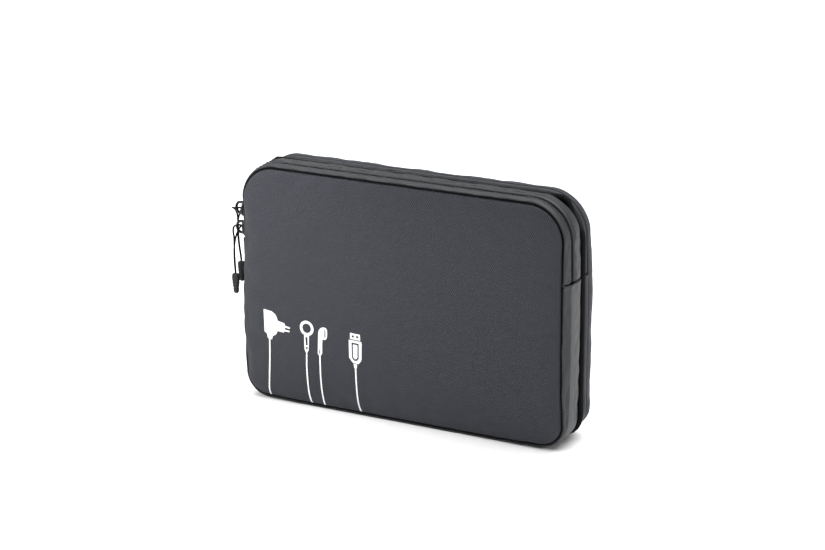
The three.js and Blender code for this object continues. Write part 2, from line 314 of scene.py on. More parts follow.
def ribbed_elastic(name, dark, light, pitch):
    nodes = Nodes(name, light, 0.8, sheen=0.2, specular=0.25)
    u, v = nodes.uv()
    rib = wave(nodes, v, pitch)
    pick = wave(nodes, u, pitch * 0.45)
    height = nodes.weighted((rib, 0.75), (pick, 0.25))
    nodes.ramp(height, dark, light, 0.1, 0.9)
    nodes.bump(height, 0.25 * MM)
    return nodes.material


def braided_cord(name, dark, light):
    nodes = Nodes(name, light, 0.8, specular=0.12)
    split = nodes.add("ShaderNodeSeparateXYZ")
    nodes.join(nodes.place(), split.inputs[0])
    x, y, z = split.outputs
    one = wave(nodes, nodes.math("ADD", z, nodes.math("ADD", x, y)), 0.9 * MM)
    two = wave(nodes, nodes.math("SUBTRACT", z, nodes.math("ADD", x, y)), 0.9 * MM)
    braid = nodes.math("MAXIMUM", one, two)
    nodes.ramp(braid, dark, light, 0.3, 1.0)
    nodes.bump(braid, 0.12 * MM)
    return nodes.material


def moulded(name, dark, light, roughness, grain_scale=700, depth=0.03 * MM):
    nodes = Nodes(name, light, roughness, specular=0.28)
    grain = nodes.noise(grain_scale, 3)
    nodes.ramp(nodes.noise(120, 4), dark, light)
    nodes.rough(grain, roughness - 0.1, roughness + 0.12)
    nodes.bump(grain, depth)
    return nodes.material


def lacquered_metal(name):
    """Black lacquer, rubbed a little towards bare metal in small patches."""
    nodes = Nodes(name, (0.008, 0.008, 0.009), 0.36, metallic=0.15, coat=0.1, specular=0.3)
    wear = nodes.noise(420, 5)
    nodes.ramp(wear, (0.004, 0.004, 0.005), (0.035, 0.035, 0.037), 0.62, 0.85)
    nodes.rough(wear, 0.26, 0.5)
    nodes.bump(nodes.noise(1500, 2), 0.01 * MM)
    return nodes.material


def printed_ink(name):
    """White print, a trace of the cloth's weave showing through."""
    nodes = Nodes(name, (0.86, 0.86, 0.86), 0.5, specular=0.3)
    nodes.ramp(nodes.noise(1600, 2), (0.78, 0.78, 0.79), (0.9, 0.9, 0.9), 0.35, 0.6)
    nodes.bump(nodes.noise(1100, 3), 0.03 * MM)
    return nodes.material


def foam_material(name):
    nodes = Nodes(name, (0.05, 0.05, 0.05), 0.9, specular=0.2)
    cells = nodes.add("ShaderNodeTexVoronoi")
    cells.inputs["Scale"].default_value = 900
    nodes.join(nodes.place(), cells.inputs["Vector"])
    nodes.ramp(cells.outputs["Distance"], (0.02, 0.02, 0.02), (0.07, 0.07, 0.07), 0.0, 0.7)
    nodes.bump(cells.outputs["Distance"], 0.3 * MM)
    return nodes.material


PANEL_CLOTH = coated_twill("panel_twill", (0.016, 0.0175, 0.0225), (0.041, 0.0445, 0.056),
                           1.5 * MM, 0.3 * MM, 0.5)
GUSSET_CLOTH = coated_twill("gusset_cloth", (0.018, 0.019, 0.021), (0.036, 0.0375, 0.042),
                            0.7 * MM, 0.08 * MM, 0.42)
# Near-black tape set as dark as the shaded seam and groove: partly the tape's own black, partly
# painted shade. The groove's piping made from it is painted shade.
BLACK_TAPE_AND_SHADE = plain_weave("black_tape", (0.0015, 0.0015, 0.002), (0.006, 0.006, 0.0065),
                         0.5 * MM, 0.06 * MM, 0.85)
LINING_CLOTH = plain_weave("lining_cloth", (0.025, 0.026, 0.03), (0.05, 0.052, 0.058),
                           0.4 * MM, 0.04 * MM, 0.6)
NET_YARN = plain_weave("net_yarn", (0.008, 0.008, 0.009), (0.022, 0.022, 0.024),
                       0.5 * MM, 0.05 * MM, 0.8)
ELASTIC = ribbed_elastic("ribbed_elastic", (0.006, 0.006, 0.007), (0.026, 0.026, 0.028), 1.1 * MM)
CORD_YARN = braided_cord("cord_yarn", (0.001, 0.001, 0.001), (0.005, 0.005, 0.0055))
COIL_NYLON = moulded("coil_nylon", (0.006, 0.006, 0.007), (0.014, 0.014, 0.015), 0.45)
TIP_PLASTIC = moulded("tip_plastic", (0.006, 0.006, 0.007), (0.014, 0.014, 0.015), 0.5,
                      500, 0.05 * MM)
SLIDER_METAL = lacquered_metal("slider_lacquer")
THREAD = moulded("thread", (0.06, 0.06, 0.066), (0.11, 0.112, 0.12), 0.6, 2500)
BLACK_THREAD = moulded("black_thread", (0.01, 0.01, 0.011), (0.03, 0.03, 0.032), 0.65, 2500)
INK = printed_ink("white_print")
FOAM = foam_material("closed_cell_foam")


# ---- The pouch's outline ----
def arc(x, z, radius, start, turn):
    return {"length": radius * math.radians(turn), "centre": (x, z), "radius": radius,
            "start": math.radians(start)}


def line(x, z, direction, normal, length):
    return {"length": length, "from": (x, z), "direction": direction, "normal": normal}


TOP_X = HALF - TOP_RADIUS
TOP_Z = HEIGHT - TOP_RADIUS
LOW_X = HALF - BOTTOM_RADIUS
OUTLINE = [
    arc(-LOW_X, BOTTOM_RADIUS, BOTTOM_RADIUS, 225, 45),
    line(-LOW_X, 0, (1, 0), (0, -1), 2 * LOW_X),
    arc(LOW_X, BOTTOM_RADIUS, BOTTOM_RADIUS, 270, 45),
    arc(LOW_X, BOTTOM_RADIUS, BOTTOM_RADIUS, 315, 45),
    line(HALF, BOTTOM_RADIUS, (0, 1), (1, 0), FOLD - BOTTOM_RADIUS),
    line(HALF, FOLD, (0, 1), (1, 0), TOP_Z - FOLD),
    arc(TOP_X, TOP_Z, TOP_RADIUS, 0, 45),
    arc(TOP_X, TOP_Z, TOP_RADIUS, 45, 45),
    line(TOP_X, HEIGHT, (-1, 0), (0, 1), 2 * TOP_X),
    arc(-TOP_X, TOP_Z, TOP_RADIUS, 90, 45),
    arc(-TOP_X, TOP_Z, TOP_RADIUS, 135, 45),
    line(-HALF, TOP_Z, (0, -1), (-1, 0), TOP_Z - FOLD),
    line(-HALF, FOLD, (0, -1), (-1, 0), FOLD - BOTTOM_RADIUS),
    arc(-LOW_X, BOTTOM_RADIUS, BOTTOM_RADIUS, 180, 45),
]
STARTS = [sum(s["length"] for s in OUTLINE[:i]) for i in range(len(OUTLINE) + 1)]
ROUND = STARTS[-1]


def outline_at(t):
    """(x, z, normal x, normal z) at length t round the outline, from the lower left corner."""
    t %= ROUND
    i = max(k for k in range(len(OUTLINE)) if STARTS[k] <= t + 1e-12)
    s, along = OUTLINE[i], t - STARTS[i]
    if "radius" in s:
        angle = s["start"] + along / s["radius"]
        nx, nz = math.cos(angle), math.sin(angle)
        return s["centre"][0] + s["radius"] * nx, s["centre"][1] + s["radius"] * nz, nx, nz
    dx, dz = s["direction"]
    return s["from"][0] + dx * along, s["from"][1] + dz * along, *s["normal"]


# Lengths round the outline at its four corners' middles and at the two fold points.
CORNER_LR = STARTS[3]
FOLD_R = STARTS[5]
CORNER_UR = STARTS[7]
CORNER_UL = STARTS[10]
FOLD_L = STARTS[12]
NEAR_FOLD = [0.5 * MM, 1.3 * MM, 2.6 * MM]


def spread(start, end, count):
    return [start + (end - start) * i / count for i in range(count)]


def stations():
    """Lengths round the outline where the cloth has a column, and the columns at the corners."""
    far = NEAR_FOLD[-1]
    lower_r = spread(CORNER_LR, FOLD_R - far, 28) + [FOLD_R - d for d in reversed(NEAR_FOLD)]
    upper_r = [FOLD_R] + [FOLD_R + d for d in NEAR_FOLD[:-1]] + spread(FOLD_R + far, CORNER_UR, 12)
    upper_l = spread(CORNER_UL, FOLD_L - far, 12) + [FOLD_L - d for d in reversed(NEAR_FOLD)]
    lower_l = [FOLD_L] + [FOLD_L + d for d in NEAR_FOLD[:-1]] + spread(FOLD_L + far, ROUND, 28)
    bottom = spread(0, CORNER_LR, 60)
    top = spread(CORNER_UR, CORNER_UL, 60)
    return bottom + lower_r + upper_r + top + upper_l + lower_l, len(bottom), len(lower_r + upper_r)


STATIONS, ACROSS, UP = stations()
COLUMNS = len(STATIONS)
FOLD_COLUMN_R = STATIONS.index(FOLD_R)
FOLD_COLUMN_L = STATIONS.index(FOLD_L)
OUTLINE_POINTS = [outline_at(t) for t in STATIONS]


def ring(inset, y):
    return [Vector((x - inset * nx, y, z - inset * nz)) for x, z, nx, nz in OUTLINE_POINTS]


def grid_index(column):
    """The grid cell corner (i, j) that meets a column of the ring round the grid."""
    if column < ACROSS:
        return column, 0
    column -= ACROSS
    if column < UP:
        return ACROSS, column
    column -= UP
    if column < ACROSS:
        return ACROSS - column, UP
    return 0, UP - (column - ACROSS)


def grid_mesh(grid, first=0):
    """A grid's vertices, their numbers counted from first, its faces and its rim."""
    keys = sorted(grid)
    index = {k: n + first for n, k in enumerate(keys)}
    faces = [(index[i, j], index[i + 1, j], index[i + 1, j + 1], index[i, j + 1])
             for i in range(ACROSS) for j in range(UP)]
    rim = [index[grid_index(c)] for c in range(COLUMNS)]
    return [grid[k] for k in keys], index, faces, rim


def ring_faces(before, row):
    """The faces between two rings of vertex numbers."""
    following = [(c, (c + 1) % COLUMNS) for c in range(COLUMNS)]
    return [(before[c], row[c], row[d], before[d]) for c, d in following]


def filled(inset, y):
    """A grid over the inside of a ring, blended from its four sides."""
    rim = ring(inset, y)
    edge = {grid_index(c): rim[c] for c in range(COLUMNS)}
    grid = {}
    for i in range(ACROSS + 1):
        for j in range(UP + 1):
            u, v = i / ACROSS, j / UP
            if (i, j) in edge:
                grid[i, j] = edge[i, j].copy()
                continue
            sides = edge[i, 0] * (1 - v) + edge[i, UP] * v + edge[0, j] * (1 - u) + edge[ACROSS, j] * u
            corners = (edge[0, 0] * (1 - u) * (1 - v) + edge[ACROSS, 0] * u * (1 - v)
                       + edge[0, UP] * (1 - u) * v + edge[ACROSS, UP] * u * v)
            grid[i, j] = sides - corners
    return grid


# ---- How the filled pouch settles ----
BAND_BELLY = 1.4 * MM
REAR_BELLY = 4.2 * MM
PULLED_IN_RIGHT = 1.1 * MM  # the front seam, at mid height
LET_OUT_LEFT = 1.2 * MM
LEFT_SLACK = 3.6 * MM  # more of it, below the pulls
LEFT_SEAM_TUCK = 2.9 * MM
BAND_RISE = 0.5 * MM
REAR_RISE = 0.9 * MM
LOW_BULGE = 2.4 * MM  # of the rear bag, above its foot
LOW_BULGE_Z = 20 * MM
LOW_BULGE_SPREAD = 13 * MM
FOOT_LIFT = {1: 3.6 * MM, -1: 1.6 * MM}  # of the lower corners, right and left
REAR_FOOT_LIFT = 1.2 * MM
PANEL_TUCK = 1.3 * MM  # the panel's foot leans back, more at the right
PANEL_TUCK_SKEW = 0.8 * MM
PANEL_TUCK_HEIGHT = 48 * MM


def rear_swell(y):
    """How far the rear bag bellies at a depth: steeply at the groove, then on towards the back."""
    swell = 0.45 * smooth(GROOVE_REAR - 0.6 * MM, GROOVE_REAR + 1.2 * MM, y)
    swell += 0.55 * smooth(GROOVE_REAR + MM, 15 * MM, y)
    return swell * (1 - smooth(15 * MM, BACK, y))


def settle(p):
    """Where a point of the neat pouch ends up: sides bellied, front seam pulled in, base sagged."""
    x, y, z = p
    side = 1 if x > 0 else -1
    across = min(1.0, abs(x) / HALF) ** 6
    height = min(1.0, max(0.0, z / HEIGHT))
    arch = math.sin(math.pi * height)
    behind_seam = smooth(FRONT, FRONT_ZIP, y)
    top = behind_seam * (1 - smooth(FRONT_ZIP + 4 * MM, GROOVE_FRONT, y))
    band = behind_seam * (1 - smooth(GROOVE_FRONT - MM, GROOVE_FRONT + MM, y))
    rear = rear_swell(y)
    front = 1 - smooth(FRONT, FRONT + 8 * MM, y)
    let_out = -PULLED_IN_RIGHT
    if side < 0:
        let_out = LET_OUT_LEFT + LEFT_SLACK * (1 - smooth(0.3, 0.8, height))
    out = across * arch * (BAND_BELLY * band + REAR_BELLY * rear + let_out * front)
    if side < 0:
        tuck = 1 - smooth(FRONT, FRONT + 12 * MM, y)
        tuck *= smooth(3.2 * MM, 1.6 * MM, edge_distance(p))
        out -= across * arch * LEFT_SEAM_TUCK * tuck
    low = math.exp(-((z - LOW_BULGE_Z) / LOW_BULGE_SPREAD) ** 2)
    out += across * LOW_BULGE * rear * low
    rise = height ** 10 * (BAND_RISE * top + REAR_RISE * rear)
    corner = across * (1 - height) ** 8 * (FOOT_LIFT[side] + REAR_FOOT_LIFT * rear)
    y += front * (PANEL_TUCK + PANEL_TUCK_SKEW * x / HALF) * smooth(PANEL_TUCK_HEIGHT, 0, z)
    part = smooth(GROOVE_FRONT - 7 * MM, GROOVE_FRONT, y) * (y < REAR_START)
    part -= (1 - smooth(GROOVE_REAR, GROOVE_REAR + 4 * MM, y)) * (y > REAR_START)
    apart = groove_gap(abs(x), z) * part * smooth(7 * MM, 2.5 * MM, edge_distance(p))
    return Vector((x + side * out, y - apart, max(0.0, z + rise) + corner))


SIDE_GAP = 0.35 * MM
CORNER_GAP = 1.3 * MM
TOP_PINCH = 0.3 * MM


def corner_angle(x, z):
    """The angle round a top corner in degrees: 0 at the side, 90 along the top."""
    return math.degrees(math.atan2(z - TOP_Z, x - TOP_X)) if x > TOP_X else 90


def corner_opening(angle):
    """The lens that the groove opens in a top corner, from 0 to 1."""
    return math.exp(-((angle - 58) / 15) ** 2)


def groove_gap(x, z):
    """How far each side of the groove moves away from its middle."""
    if z < TOP_Z:
        return SIDE_GAP * smooth(TOP_Z, TOP_Z - 14 * MM, z) * smooth(TOP_X, HALF, x)
    angle = corner_angle(x, z)
    return CORNER_GAP * corner_opening(angle) - TOP_PINCH * smooth(62, 90, angle)


def groove_shade_shows(x, z):
    """How far the black binding comes up between the bags, from 0 at the top and the base: it is
    painted shade, brought up where the gap between the bags shows dark.
    """
    if z < TOP_Z:
        return smooth(LOW_X, HALF, x)
    angle = corner_angle(x, z)
    return max(corner_opening(angle), smooth(20, 0, angle))


def pucker(p, seam_distance, amount=0.22 * MM):
    """The small waves that a row of stitches draws in the cloth beside it."""
    fade = math.exp(-seam_distance / (3.2 * MM))
    wobble = noise.noise(Vector(p) * 190) + 0.5 * noise.noise(Vector(p) * 420)
    return amount * fade * wobble


# ---- Cloth simulation ----
PUFF_FRAMES = 20
PUFF_PRESSURE = 3.0
FRONT_PUFF = 1.6 * MM  # the most that the cloth is let out
REAR_PUFF = 1.0 * MM


def puff(vertices, faces, pinned, cap):
    """The vertices after the cloth between its pinned seams has been blown out a little."""
    scene = bpy.context.scene
    mesh = bpy.data.meshes.new("puff")
    mesh.from_pydata([tuple(v) for v in vertices], [], faces)
    obj = linked("puff", mesh)
    group = obj.vertex_groups.new(name="pin")
    group.add(sorted(pinned), 1.0, "REPLACE")
    cloth = obj.modifiers.new("cloth", "CLOTH")
    cloth.settings.quality = 6
    cloth.settings.mass = 0.12
    cloth.settings.tension_stiffness = 18
    cloth.settings.compression_stiffness = 12
    cloth.settings.shear_stiffness = 6
    cloth.settings.bending_stiffness = 0.6
    cloth.settings.use_pressure = True
    cloth.settings.uniform_pressure_force = PUFF_PRESSURE
    cloth.settings.vertex_group_mass = "pin"
    cloth.settings.shrink_min = -0.012
    cloth.settings.effector_weights.gravity = 0
    cloth.collision_settings.use_collision = False
    cloth.point_cache.frame_start = 1
    cloth.point_cache.frame_end = PUFF_FRAMES
    for step in range(1, PUFF_FRAMES + 1):
        scene.frame_set(step)
    evaluated = obj.evaluated_get(bpy.context.evaluated_depsgraph_get())
    moves = [evaluated.data.vertices[i].co - vertices[i] for i in range(len(vertices))]
    scene.frame_set(1)
    bpy.data.objects.remove(obj)
    bpy.data.meshes.remove(mesh)
    return [v + m * (cap / (cap + m.length)) for v, m in zip(vertices, moves)]


# ---- Front compartment ----
SEAM = PANEL_INSET + 0.1 * MM
FLUSH_INSET = -0.75 * MM  # below the side seams the gusset runs on flat where the zip would be
FLUSH_REACH = 4.5 * MM


def front_profile():
    """Rings from the panel's flat middle, through the seam, over the gusset to the groove."""
    y = FRONT
    panel = [(9, 0), (6, 0), (4.2, 0.05), (3.4, 0.12), (2.75, 0.35), (2.4, 0.9), (2.3, 2.2)]
    lip = [(1.35, 2.8), (1.15, 1.9), (0.85, 1.3), (0.45, 1.2), (0.1, 1.6), (-0.15, 2.4),
           (-0.3, 3.4), (-0.35, 4.4)]
    to_zip = [(-0.3, -3.6), (-0.15, -2.9), (0.05, -2.4), (0.4, -2.05), (1.0, -1.95)]
    from_zip = [(0.9, 1.7), (0.25, 1.85), (-0.2, 2.4), (-0.55, 3.2), (-0.75, 4.6), (-0.8, 6.2)]
    to_groove = [(-0.7, -4.4), (-0.35, -3.0), (0.2, -1.7), (1.0, -0.7), (2.2, -0.1), (3.8, 0.05)]
    panel = [(inset * MM, y + back * MM) for inset, back in panel]
    strip_a = [(inset * MM, y + back * MM) for inset, back in lip]
    strip_a += [(inset * MM, FRONT_ZIP + back * MM) for inset, back in to_zip]
    strip_b = [(inset * MM, FRONT_ZIP + back * MM) for inset, back in from_zip]
    strip_b += [(inset * MM, GROOVE_FRONT + back * MM) for inset, back in to_groove]
    return panel, strip_a, strip_b


def on_base(row):
    """The vertices of a ring that stand on the table, which are never blown out."""
    return {row[c] for c in range(COLUMNS) if OUTLINE_POINTS[c][3] < -0.9}


def solve_front():
    """Positions of the whole front bag after the simulation: the panel's grid and all rings."""
    panel, strip_a, strip_b = front_profile()
    profile = panel + strip_a + strip_b
    vertices, index, faces, before = grid_mesh(filled(GRID_INSET, FRONT))
    rows = []
    for inset, y in profile:
        row = list(range(len(vertices), len(vertices) + COLUMNS))
        vertices += ring(inset, y)
        faces += ring_faces(before, row)
        rows.append(row)
        before = row
    a = len(panel)
    b = a + len(strip_a)
    held = rows[a - 1:a + 2] + rows[b - 4:b + 4] + rows[-3:]
    pinned = {v for row in held for v in row}
    for row in rows[a:]:
        pinned |= on_base(row)
    puffed = puff(vertices, faces, pinned, FRONT_PUFF)
    flat = {k: puffed[n] for k, n in index.items()}
    return flat, [[puffed[v] for v in row] for row in rows], profile, a, b


def grid_piece(name, grid, rows, profile, material, flip=False):
    """A panel: its grid and the rings round it, with the weave laid flat over it."""
    vertices, _, faces, before = grid_mesh(grid)
    uvs = [(v.x, v.z) for v in vertices]
    reach = -GRID_INSET
    last = (GRID_INSET, profile[0][1])
    for row, (inset, y) in zip(rows, profile):
        reach += math.hypot(inset - last[0], y - last[1])
        last = (inset, y)
        now = list(range(len(vertices), len(vertices) + COLUMNS))
        vertices += row
        uvs += [(x + nx * reach, z + nz * reach) for x, z, nx, nz in OUTLINE_POINTS]
        faces += ring_faces(before, now)
        before = now
    if flip:
        faces = [tuple(reversed(f)) for f in faces]
    return new_object(name, vertices, faces, material, uvs)


ARCH = list(range(FOLD_COLUMN_R, FOLD_COLUMN_L + 1))
TROUGH = [c % COLUMNS for c in range(FOLD_COLUMN_L, FOLD_COLUMN_R + COLUMNS + 1)]


def strip_piece(name, rows, columns, profile, material, end_tuck):
    """A gusset strip over some of the columns. end_tuck moves the ends at the side seams."""
    vertices, uvs, faces = [], [], []
    travelled = 0.0
    last = profile[0]
    width = len(columns)
    for row, now in zip(rows, profile):
        travelled += math.hypot(now[0] - last[0], now[1] - last[1])
        last = now
        along = 0.0
        for n, c in enumerate(columns):
            _, z, nx, nz = OUTLINE_POINTS[c]
            point = row[c].copy()
            reach = abs(z - FOLD) if min(n, width - 1 - n) < len(NEAR_FOLD) + 1 else 1.0
            point -= Vector((nx, 0, nz)) * end_tuck(reach)
            if n:
                gap = STATIONS[c] - STATIONS[columns[n - 1]]
                along += gap if gap > 0 else gap + ROUND
            vertices.append(point)
            uvs.append((along, travelled))
    for r in range(len(profile) - 1):
        for n in range(width - 1):
            a, b = r * width + n, (r + 1) * width + n
            faces.append((a, b, b + 1, a + 1))
    return new_object(name, vertices, faces, material, uvs)


def tuck_under(reach):
    """The zip gusset's end dives under the fold of the lower gusset."""
    return 0.9 * MM * (1 - smooth(0, 1.6 * MM, reach))


def fold_over(reach):
    """The lower gusset's end is folded, so it stands proud and rounds off at the seam."""
    swell = 0.55 * MM * (1 - smooth(1.2 * MM, 3.0 * MM, reach))
    return 0.75 * MM * (1 - smooth(0, 0.7 * MM, reach)) - swell


def finish_cloth(obj, seam_rows_y=(), seam_inset=None):
    """Settles every vertex, with puckers where the cloth runs into its seams."""
    for v in obj.data.vertices:
        p = v.co.copy()
        if seam_rows_y:
            near = min(abs(p.y - y) for y in seam_rows_y)
            push = pucker(p, near)
            outward = Vector((p.x / HALF, 0, (p.z - HEIGHT / 2) / (HEIGHT / 2)))
            outward.normalize()
            p += outward * push
        if seam_inset is not None:
            p.y += pucker(p, edge_distance(p) - seam_inset, 0.3 * MM)
        v.co = settle(p)
    obj.data.update()


def edge_distance(p):
    """How far inside the pouch's outline a point is."""
    radius = TOP_RADIUS if p.z > HEIGHT / 2 else BOTTOM_RADIUS
    qx = abs(p.x) - (HALF - radius)
    centre_z = HEIGHT - radius if p.z > HEIGHT / 2 else radius
    qz = (p.z - centre_z) if p.z > HEIGHT / 2 else (centre_z - p.z)
    outside = math.hypot(max(qx, 0), max(qz, 0)) + min(max(qx, qz), 0)
    return radius - outside


def front_compartment():
    grid, rows, profile, a, b = solve_front()
    panel = grid_piece("front_panel_cloth", grid, rows[:a], profile[:a], PANEL_CLOTH)
    finish_cloth(panel, seam_inset=SEAM)
    thicken(panel, CLOTH)
    attach(panel, ON_FRONT_FLAP, "panel_fabric", "front_panel_lower", "front_panel_flap")

    flush_rows, flush_profile = [], []
    for row, (inset, y) in zip(rows[a:], profile[a:]):
        flush = min(inset, FLUSH_INSET) if abs(y - FRONT_ZIP) < FLUSH_REACH else inset
        flush_profile.append((flush, y))
        flush_rows.append([p + Vector((nx, 0, nz)) * (inset - flush)
                           for p, (_, _, nx, nz) in zip(row, OUTLINE_POINTS)])
    seam_y = profile[a][1]
    pieces = []
    for name, strip_rows, columns, steps, tuck, seams, carry, node in (
        ("front_lower_gusset_cloth", flush_rows, TROUGH, flush_profile, fold_over,
         (seam_y, GROOVE_FRONT), ON_ROOT, "front_gusset_lower"),
        ("front_zip_strip_front_cloth", rows[a:b], ARCH, profile[a:b], tuck_under,
         (seam_y,), ON_FRONT_FLAP, "front_zip_strip_flap"),
        ("front_zip_strip_rear_cloth", rows[b:], ARCH, profile[b:], tuck_under,
         (GROOVE_FRONT,), ON_ROOT, "front_zip_strip_body"),
    ):
        strip = strip_piece(name, strip_rows, columns, steps, GUSSET_CLOTH, tuck)
        finish_cloth(strip, seams)
        thicken(strip, CLOTH)
        attach(strip, carry, "gusset_fabric", node)
        pieces.append(strip)
    lower, front_strip, rear_strip = pieces
    stitch_row("front_strip_stitches", front_strip, b - a - 5, ON_FRONT_FLAP)
    stitch_row("rear_strip_stitches", rear_strip, 4, ON_ROOT)
    side_seam_stitches(lower, range(3, len(rows) - a - 3))
    return panel


# ---- Rear compartment ----
REAR_SLIT = 0.4 * MM  # from the rear zip's middle to the folded edge on each side
DISH_STEPS = 10
BACK_SEAM_STEP = 7
BACK_SEAM_DEPTH = 0.9 * MM


def rear_profile():
    """Rings from the groove back over the zip and round the dished back to its flat middle."""
    y = GROOVE_REAR
    strip = [(3.2 * MM, y - 0.05 * MM), (1.9 * MM, y), (1.0 * MM, y + 0.35 * MM),
             (0.3 * MM, y + 1.0 * MM), (0, y + 1.9 * MM),
             (0.1 * MM, REAR_ZIP - REAR_SLIT - 0.5 * MM), (0.6 * MM, REAR_ZIP - REAR_SLIT)]
    dish = [(0.6 * MM, REAR_ZIP + REAR_SLIT), (0.1 * MM, REAR_ZIP + REAR_SLIT + 0.5 * MM)]
    start = BACK - BACK_ROUNDING
    for k in range(DISH_STEPS):
        angle = math.pi / 2 * k / DISH_STEPS
        inset = BACK_ROUNDING * (1 - math.cos(angle))
        seam = BACK_SEAM_DEPTH if k == BACK_SEAM_STEP else 0.0
        dish.append((inset + seam * math.cos(angle), start + BACK_ROUNDING * math.sin(angle)
                     - seam * math.sin(angle)))
    return strip, dish


def solve_rear():
    """Positions of the rear bag after the simulation: the back's grid and all rings."""
    strip, dish = rear_profile()
    profile = strip + dish
    vertices, faces, rows = [], [], []
    for inset, y in profile:
        row = list(range(len(vertices), len(vertices) + COLUMNS))
        vertices += ring(inset, y)
        if rows:
            faces += ring_faces(rows[-1], row)
        rows.append(row)
    middle, index, flat_faces, rim = grid_mesh(filled(BACK_ROUNDING, BACK), len(vertices))
    vertices += middle
    faces += ring_faces(rows[-1], rim)
    faces += [tuple(reversed(f)) for f in flat_faces]
    s = len(strip)
    held = rows[:2] + rows[s - 3:s + 3] + [rows[s + 2 + BACK_SEAM_STEP]]
    pinned = {v for row in held for v in row}
    for row in rows:
        pinned |= on_base(row)
    puffed = puff(vertices, faces, pinned, REAR_PUFF)
    flat = {k: puffed[n] for k, n in index.items()}
    return flat, [[puffed[v] for v in row] for row in rows], profile, s


def rear_compartment():
    grid, rows, profile, s = solve_rear()
    panel = grid_piece("rear_panel_cloth", grid, list(reversed(rows[s:])),
                       list(reversed(profile[s:])), PANEL_CLOTH, flip=True)
    finish_cloth(panel)
    thicken(panel, 0.8 * MM)
    attach(panel, ON_REAR_FLAP, "panel_fabric", "rear_panel_lower", "rear_panel_flap")

    flush = [(-0.1 * MM, REAR_ZIP - 0.6 * MM), (-0.1 * MM, REAR_ZIP + 0.4 * MM),
             (0.9 * MM, REAR_ZIP + REAR_SLIT - 0.1 * MM)]
    closed = rows[:s - 2] + [ring(*step) for step in flush]
    for name, columns, strip_rows, steps, tuck, node in (
        ("rear_zip_strip_cloth", ARCH, rows[:s], profile[:s], tuck_under, "rear_zip_strip"),
        ("rear_lower_gusset_cloth", TROUGH, closed, profile[:s - 2] + flush, fold_over,
         "rear_gusset_lower"),
    ):
        strip = strip_piece(name, strip_rows, columns, steps, GUSSET_CLOTH, tuck)
        finish_cloth(strip, (GROOVE_REAR,))
        thicken(strip, CLOTH)
        attach(strip, ON_ROOT, "gusset_fabric", node)


# ---- Seams, stitches and zips ----
BEAD_RINGS = ((-0.5, 0.525), (-0.3, 1.0), (0.3, 1.0), (0.5, 0.525))  # place along, and girth


def barrel_faces(rings, sides, base=0):
    """The side faces and the two ends of a stack of rings of vertices."""
    faces = []
    for r in range(rings - 1):
        for k in range(sides):
            a, b = base + r * sides + k, base + r * sides + (k + 1) % sides
            faces.append((a, b, b + sides, a + sides))
    last = base + (rings - 1) * sides
    faces.append(tuple(base + k for k in reversed(range(sides))))
    faces.append(tuple(last + k for k in range(sides)))
    return faces


def beads(name, frames, size, material):
    """Many small pillow-shaped beads in one mesh. A frame is a place, along, across and out."""
    sides = 8
    vertices, faces = [], []
    length, width, height = size
    for place, along, across, out in frames:
        faces += barrel_faces(len(BEAD_RINGS), sides, len(vertices))
        for step, grow in BEAD_RINGS:
            for k in range(sides):
                angle = 2 * math.pi * k / sides
                vertices.append(place + along * (step * length)
                                + across * (math.cos(angle) * grow * width / 2)
                                + out * (math.sin(angle) * grow * height / 2))
    return new_object(name, vertices, faces, material)


def evenly(points, normals, pitch, start=0.0):
    """Frames at equal spaces along a polyline whose points have surface normals."""
    frames, travelled, due = [], 0.0, start
    for n in range(len(points) - 1):
        step = points[n + 1] - points[n]
        length = step.length
        while due <= travelled + length and length > 0:
            t = (due - travelled) / length
            out = (normals[n] * (1 - t) + normals[n + 1] * t).normalized()
            along = step.normalized()
            across = out.cross(along).normalized()
            frames.append((points[n] + step * t, along, across, out))
            due += pitch
        travelled += length
    return frames


STITCH = (2.4 * MM, 0.5 * MM, 0.42 * MM)  # length, width and height
STITCH_PITCH = 3.1 * MM
STITCH_LIFT = 0.08 * MM
SEAM_STITCH = (2.0 * MM, 0.45 * MM, 0.4 * MM)
SEAM_STITCH_PITCH = 2.6 * MM


def stitch_row(name, strip, row, carry):
    """A row of topstitching along a row of a zip strip. carry(piece) moves it with its cloth."""
    width = len(ARCH)
    centre = Vector((0, 0, HEIGHT / 2))
    points, normals = [], []
    for v in strip.data.vertices[row * width:(row + 1) * width]:
        out = v.normal.copy()
        if out.dot(v.co - centre) < 0:
            out = -out
        normals.append(out)
        points.append(v.co + out * STITCH_LIFT)
    piece = beads(name, evenly(points, normals, STITCH_PITCH, STITCH_PITCH / 2), STITCH, THREAD)
    attach(piece, carry, "black_binding")


def arch_line(inset, y):
    """Points and outward normals along the zip's path, settled like the cloth."""
    points, normals = [], []
    for x, z, nx, nz in (OUTLINE_POINTS[c] for c in ARCH):
        points.append(settle(Vector((x - inset * nx, y, z - inset * nz))))
        normals.append(Vector((nx, 0, nz)))
    return points, normals


COIL_PITCH = 1.45 * MM
COIL_TOOTH = (1.5 * MM, 0.95 * MM, 0.8 * MM)
COIL_TAPE_ROWS = (0.1, 1.2, 3.0)  # mm from the zip's middle
FRONT_COIL_DEPTH = 1.0 * MM
REAR_COIL_DEPTH = 0.8 * MM


def coil(name, zip_y, depth, side, carry, node):
    """One half of a coil zip: its tape's edge and the row of nylon teeth that it carries."""
    points, normals = arch_line(depth, zip_y + side * 0.45 * MM)
    frames = evenly(points, normals, COIL_PITCH, COIL_PITCH * (0.5 if side > 0 else 1.0))
    teeth = [(p, across, along, out) for p, along, across, out in frames]
    attach(beads(name, teeth, COIL_TOOTH, COIL_NYLON), carry, "zip_coil", node)
    rows = [arch_line(depth + 0.4 * MM, zip_y + side * offset * MM)[0] for offset in COIL_TAPE_ROWS]
    tape = ribbon(name + "_tape", rows, BLACK_TAPE_AND_SHADE)
    thicken(tape, 0.35 * MM, levels=0)
    attach(tape, carry, "zip_coil")


